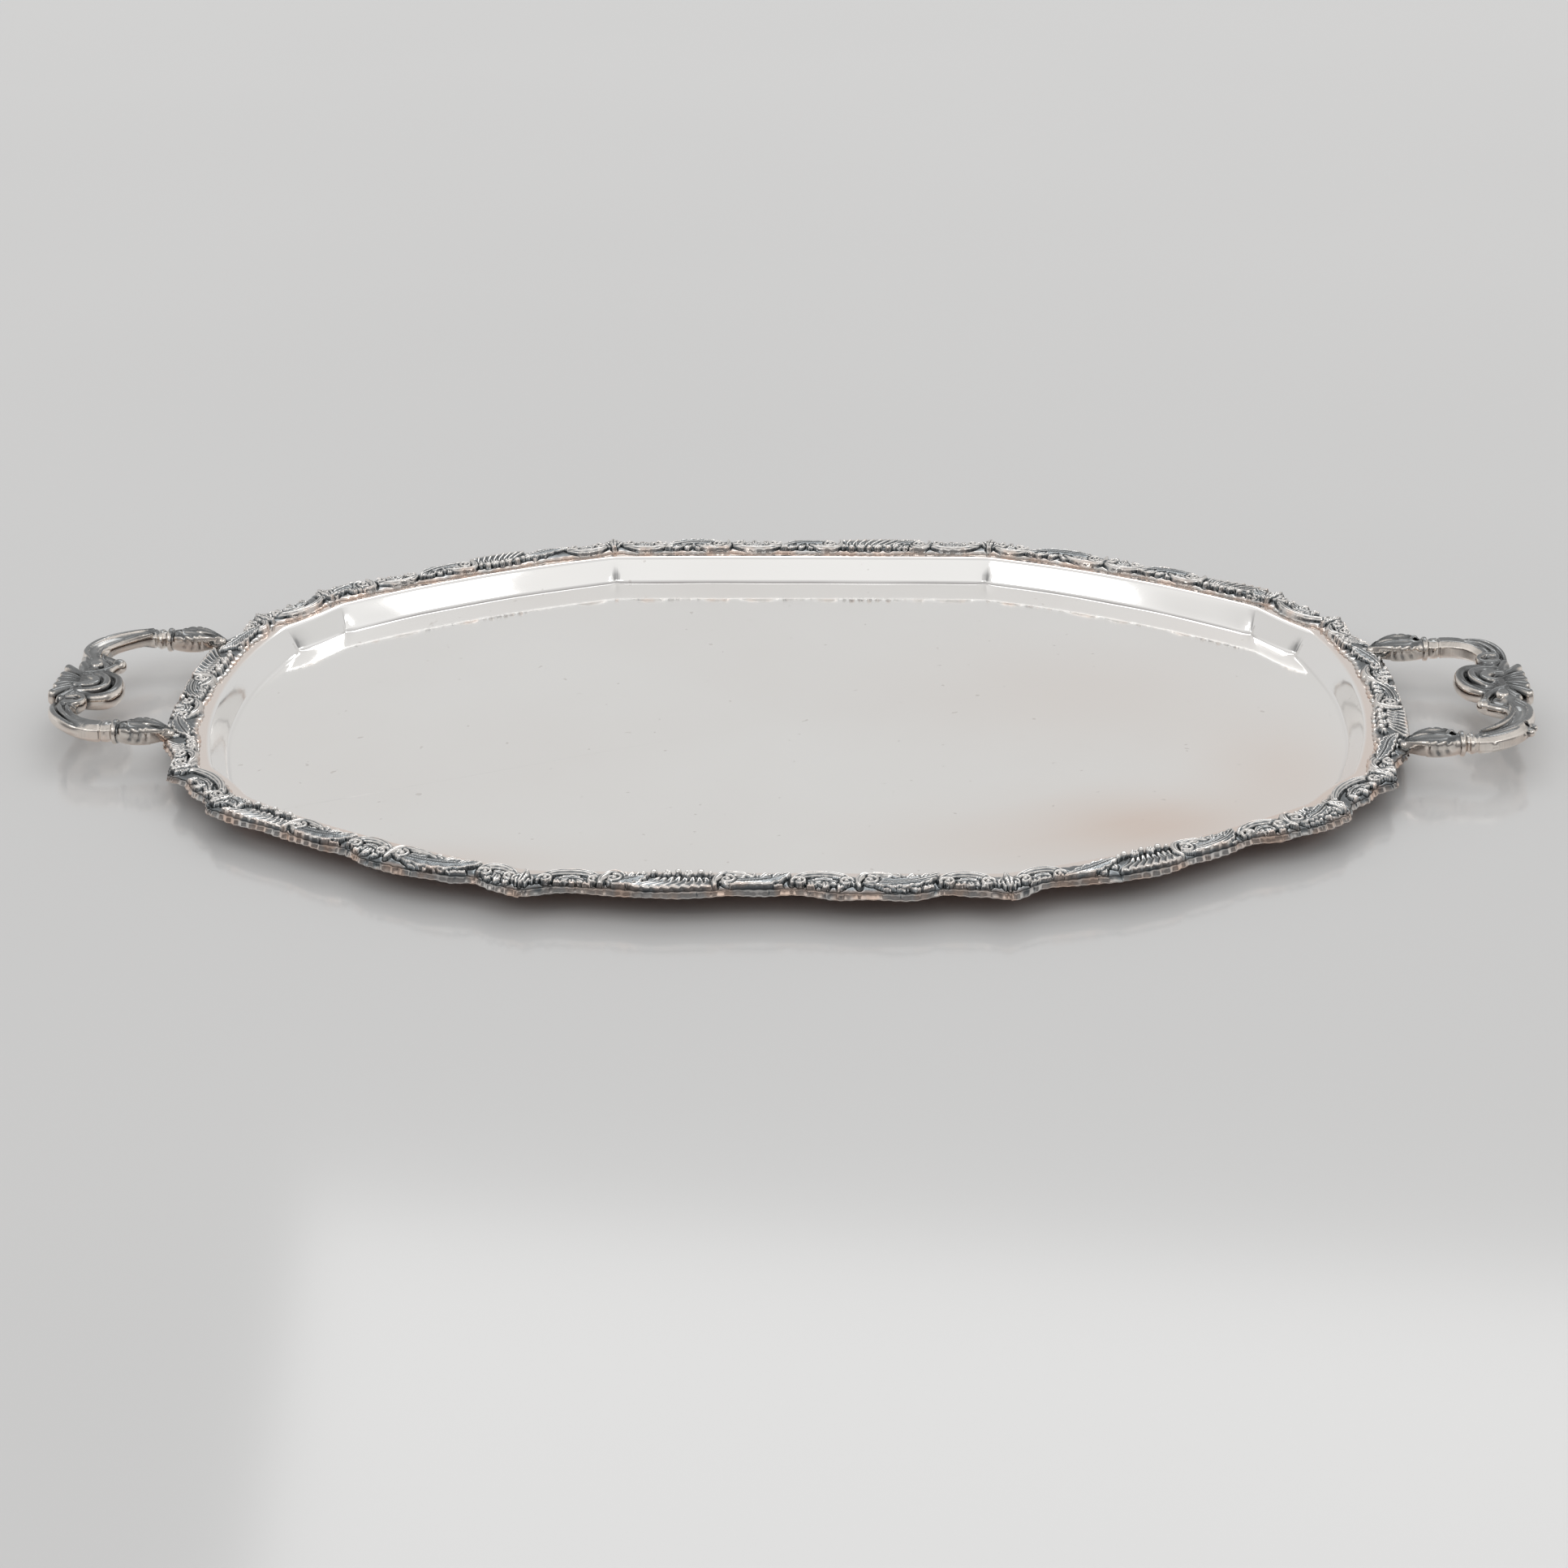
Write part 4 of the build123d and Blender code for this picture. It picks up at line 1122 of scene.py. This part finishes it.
def draw_shoulder(y):
    """A shoulder on the right end: a socket wrapped in a leaf, with its foot spread on the rim."""
    foot = -SHOULDER_LENGTH - SHOULDER_LAP
    casting = Casting((foot - 1.5, y - 10, -8), (1.2, y + 10, 8.2), SHOULDER_STEP)
    spine = curve((foot + 1, y), (-20, y), (-10, y), (-1.2, y), count=30)
    casting.stroke(spine, lambda share: arched(2.6, 3.6, 0.8)(share) + 1.6 * share,
                   lambda share: arched(2.8, 2.1)(share * 0.95) + 1.3 * share, 0.5)
    rims = [([(foot + 1, 0.6), (-20, 4.0), (-12.5, 6.2), (-6, 5.4), (-2.8, 2.6)], 1.7, 1.6),
            ([(foot + 1, -1.0), (-21, -3.4), (-14, -5.8), (-7, -5.2), (-3.4, -2.2)], 1.6, 1.1),
            ([(foot + 3, 0.4), (-19, 1.2), (-13, 0.2), (-8.6, -0.6)], 1.1, 2.6)]
    for points, half, lift in rims:
        rim = curve(*((x, y + aside) for x, aside in points), count=36)
        casting.stroke(rim, arched(0.4, half, 0.7), arched(1.6, half, 0.7), 0.5, lift=arched(lift, 0.9))
    casting.groove(curve((foot + 3, y + 2.4), (-17, y + 3.4), (-11, y + 3.0), (-7, y + 1.6)), 1.1, 0.5)
    casting.groove(curve((foot + 3, y - 1.6), (-17, y - 2.6), (-11, y - 3.2), (-7, y - 2.0)), 1.1, 0.5)
    for x in (-18.5, -14.5, -10.5):
        casting.groove(curve((x + 2.0, y + 6.0), (x + 0.8, y + 7.4), (x - 0.6, y + 8.6)), 0.6, 0.35)
        casting.groove(curve((x + 3.0, y - 5.4), (x + 1.6, y - 7.0), (x, y - 8.6)), 0.6, 0.35)
    casting.ball((-5.8, y + 2.6, 3.9), 2.1, 0.5)
    casting.hole((-5.2, y + 0.2), 1.5, 2.4)
    casting.collar(-1.2, y, 4.9, 0.3, 0.9, 0.4)
    # The rim's casting comes up through the foot, so the foot stops at the seat on it
    seat = 0.4 - HANDLE_LIFT
    casting.cut(-np.maximum(casting.x[..., None] + SHOULDER_LENGTH, casting.z - seat))
    return casting


def make_casting(name, casting, half_turn, material, node):
    """Skins a casting. Oxide is left in recesses, painted shade darkens the up-facing tops, and warm metal
    shows underneath.
    """
    points, faces, (near, wide, normal) = casting.skin()
    # Painted shade: the more a face looks up, the darker it is made
    painted_top_shade = np.clip(normal[:, 2] - 0.55, 0, 1) / 0.45
    recess = 0.62 * np.clip(near, 0, 1.2) + 0.5 * np.clip(wide - 0.1, 0, 1)
    # The dark share holds real oxide in the recesses and the painted shade on the tops
    dark_share = np.clip(-0.05 + 0.46 * painted_top_shade + recess, 0, 1)
    copper = np.clip(0.45 - normal[:, 2] * 0.8, 0, 1)
    make_piece(name, to_tray(points, half_turn), faces.tolist(), material, "cast_handle", node,
               attributes={"dark_share": dark_share, "copper": copper})


def make_handles(material):
    """Both bows and all four shoulders. The left handle is the right one turned half round."""
    bow = draw_bow()
    shoulders = {"back": draw_shoulder(BACK_ARM), "front": draw_shoulder(-FRONT_ARM)}
    opposite = {"back": "front", "front": "back"}
    for half_turn, end in ((False, "right"), (True, "left")):
        make_casting(f"bow_{end}", bow, half_turn, material, f"handle_bow_{end}")
        for arm, casting in shoulders.items():
            where = opposite[arm] if half_turn else arm
            make_casting(f"socket_{end}_{where}", casting, half_turn, material, f"shoulder_{end}_{where}")


# ======== Finishes ========
# Dark share (oxide, and on the handles also painted shade on the tops), and how many times as bright as the
# bare tarnish the metal is there
DARK_SHARE_TONES = [(0.36, 3.2), (0.65, 1.9), (0.85, 1.1), (1.0, 0.4)]
FILM_COLOUR = (0.80, 0.62, 0.52)
SPOT_COLOUR = (0.55, 0.5, 0.47)
# Colour of the painted shade along the wall's foot
FOOT_SHADE_COLOUR = (0.12, 0.105, 0.10)
UNDERSIDE_COLOUR = (0.30, 0.17, 0.13)


def tint(colour, share):
    return tuple(channel * share for channel in colour)


def cast_metal(name, tarnish, warm, clean):
    """Cast plate: dark oxide in the recesses, bright ridges, and bare warm metal where it has worn. On the
    handles the dark share also holds painted shade on the up-facing tops.
    """
    material, nodes, place = new_material(name)
    # Dark share: oxide, and on the handles painted shade on the tops
    dark_share = nodes.attribute("dark_share")
    cloud = nodes.noise(place, 60, 4)
    fine = nodes.noise(place, 900, 3)
    uneven = nodes.math("ADD", dark_share, nodes.times(nodes.math("SUBTRACT", cloud, 0.5), 0.3), clamp=True)
    silver = nodes.ramp(uneven, [(0.0, clean), (0.16, tint(clean, 0.75))]
                        + [(share, tint(tarnish, bright)) for share, bright in DARK_SHARE_TONES])
    patch = nodes.ramp(nodes.noise(place, 95, 3), [(0.42, 0.0), (0.62, 1.0)])
    worn = nodes.times(nodes.times(nodes.attribute("copper"), patch), 0.75)
    clear = nodes.times(worn, nodes.math("SUBTRACT", 1.0, nodes.times(dark_share, 0.8)))
    rough = nodes.plus(nodes.plus(0.07, nodes.times(uneven, 0.17)), nodes.times(fine, 0.05))
    nodes.surface(Base_Color=nodes.mix(clear, silver, warm), Metallic=1.0, Roughness=rough,
                  Normal=nodes.fine_bump(fine, 0.15))
    return material


def polished_plate():
    """Hand-polished plate: fine scratches, smudges, a warm film of tarnish in places, and painted shade along
    the wall's foot.
    """
    material, nodes, place = new_material("polished_plate")
    under = nodes.attribute("under")
    cloud = nodes.noise(place, 7, 4)
    spots = nodes.ramp(nodes.noise(place, 160, 2), [(0.72, 0.0), (0.76, 0.35)])
    smear = nodes.noise(place, 22, 3)
    patchy = nodes.plus(0.55, nodes.times(cloud, 0.8))
    warmth = nodes.math("MULTIPLY", nodes.attribute("film"), patchy, clamp=True)
    # Painted shade along the wall's foot, made patchy by the smear noise
    foot_shade_share = nodes.times(nodes.attribute("painted_foot_shade"), nodes.plus(0.25, nodes.times(smear, 0.7)))
    colour = nodes.ramp(cloud, [(0.3, (0.90, 0.885, 0.87)), (0.7, (0.93, 0.925, 0.915))])
    for share, over in ((warmth, FILM_COLOUR), (spots, SPOT_COLOUR), (foot_shade_share, FOOT_SHADE_COLOUR),
                        (under, UNDERSIDE_COLOUR)):
        colour = nodes.mix(share, colour, over)
    lines = nodes.add("ShaderNodeMapping", {"Vector": place, "Scale": (14, 420, 60), "Rotation": (0, 0, 0.5)})
    scratch = nodes.noise(lines.outputs[0], 2.2, 2)
    rough = nodes.plus(nodes.plus(0.05, nodes.times(smear, 0.06)), nodes.times(under, 0.35))
    nodes.surface(Base_Color=colour, Metallic=1.0, Roughness=rough, Normal=nodes.fine_bump(scratch, 0.05))
    return material


make_camera()
make_world()
for soft_box in SOFT_BOXES:
    make_light(*soft_box)
make_floor()
bpy.context.scene.view_settings.view_transform = "Standard"
make_body(polished_plate())
border_metal = cast_metal("cast_border", (0.08, 0.086, 0.09), (0.84, 0.60, 0.47), (0.74, 0.715, 0.69))
reliefs = {}
for index, panel in enumerate(PANELS):
    if panel.kind not in reliefs:
        reliefs[panel.kind] = cast_relief(panel.kind, panel.length, index)
    make_mount(index, reliefs[panel.kind], border_metal)
make_handles(cast_metal("cast_handle", (0.074, 0.076, 0.077), (0.84, 0.66, 0.56), (0.87, 0.81, 0.75)))
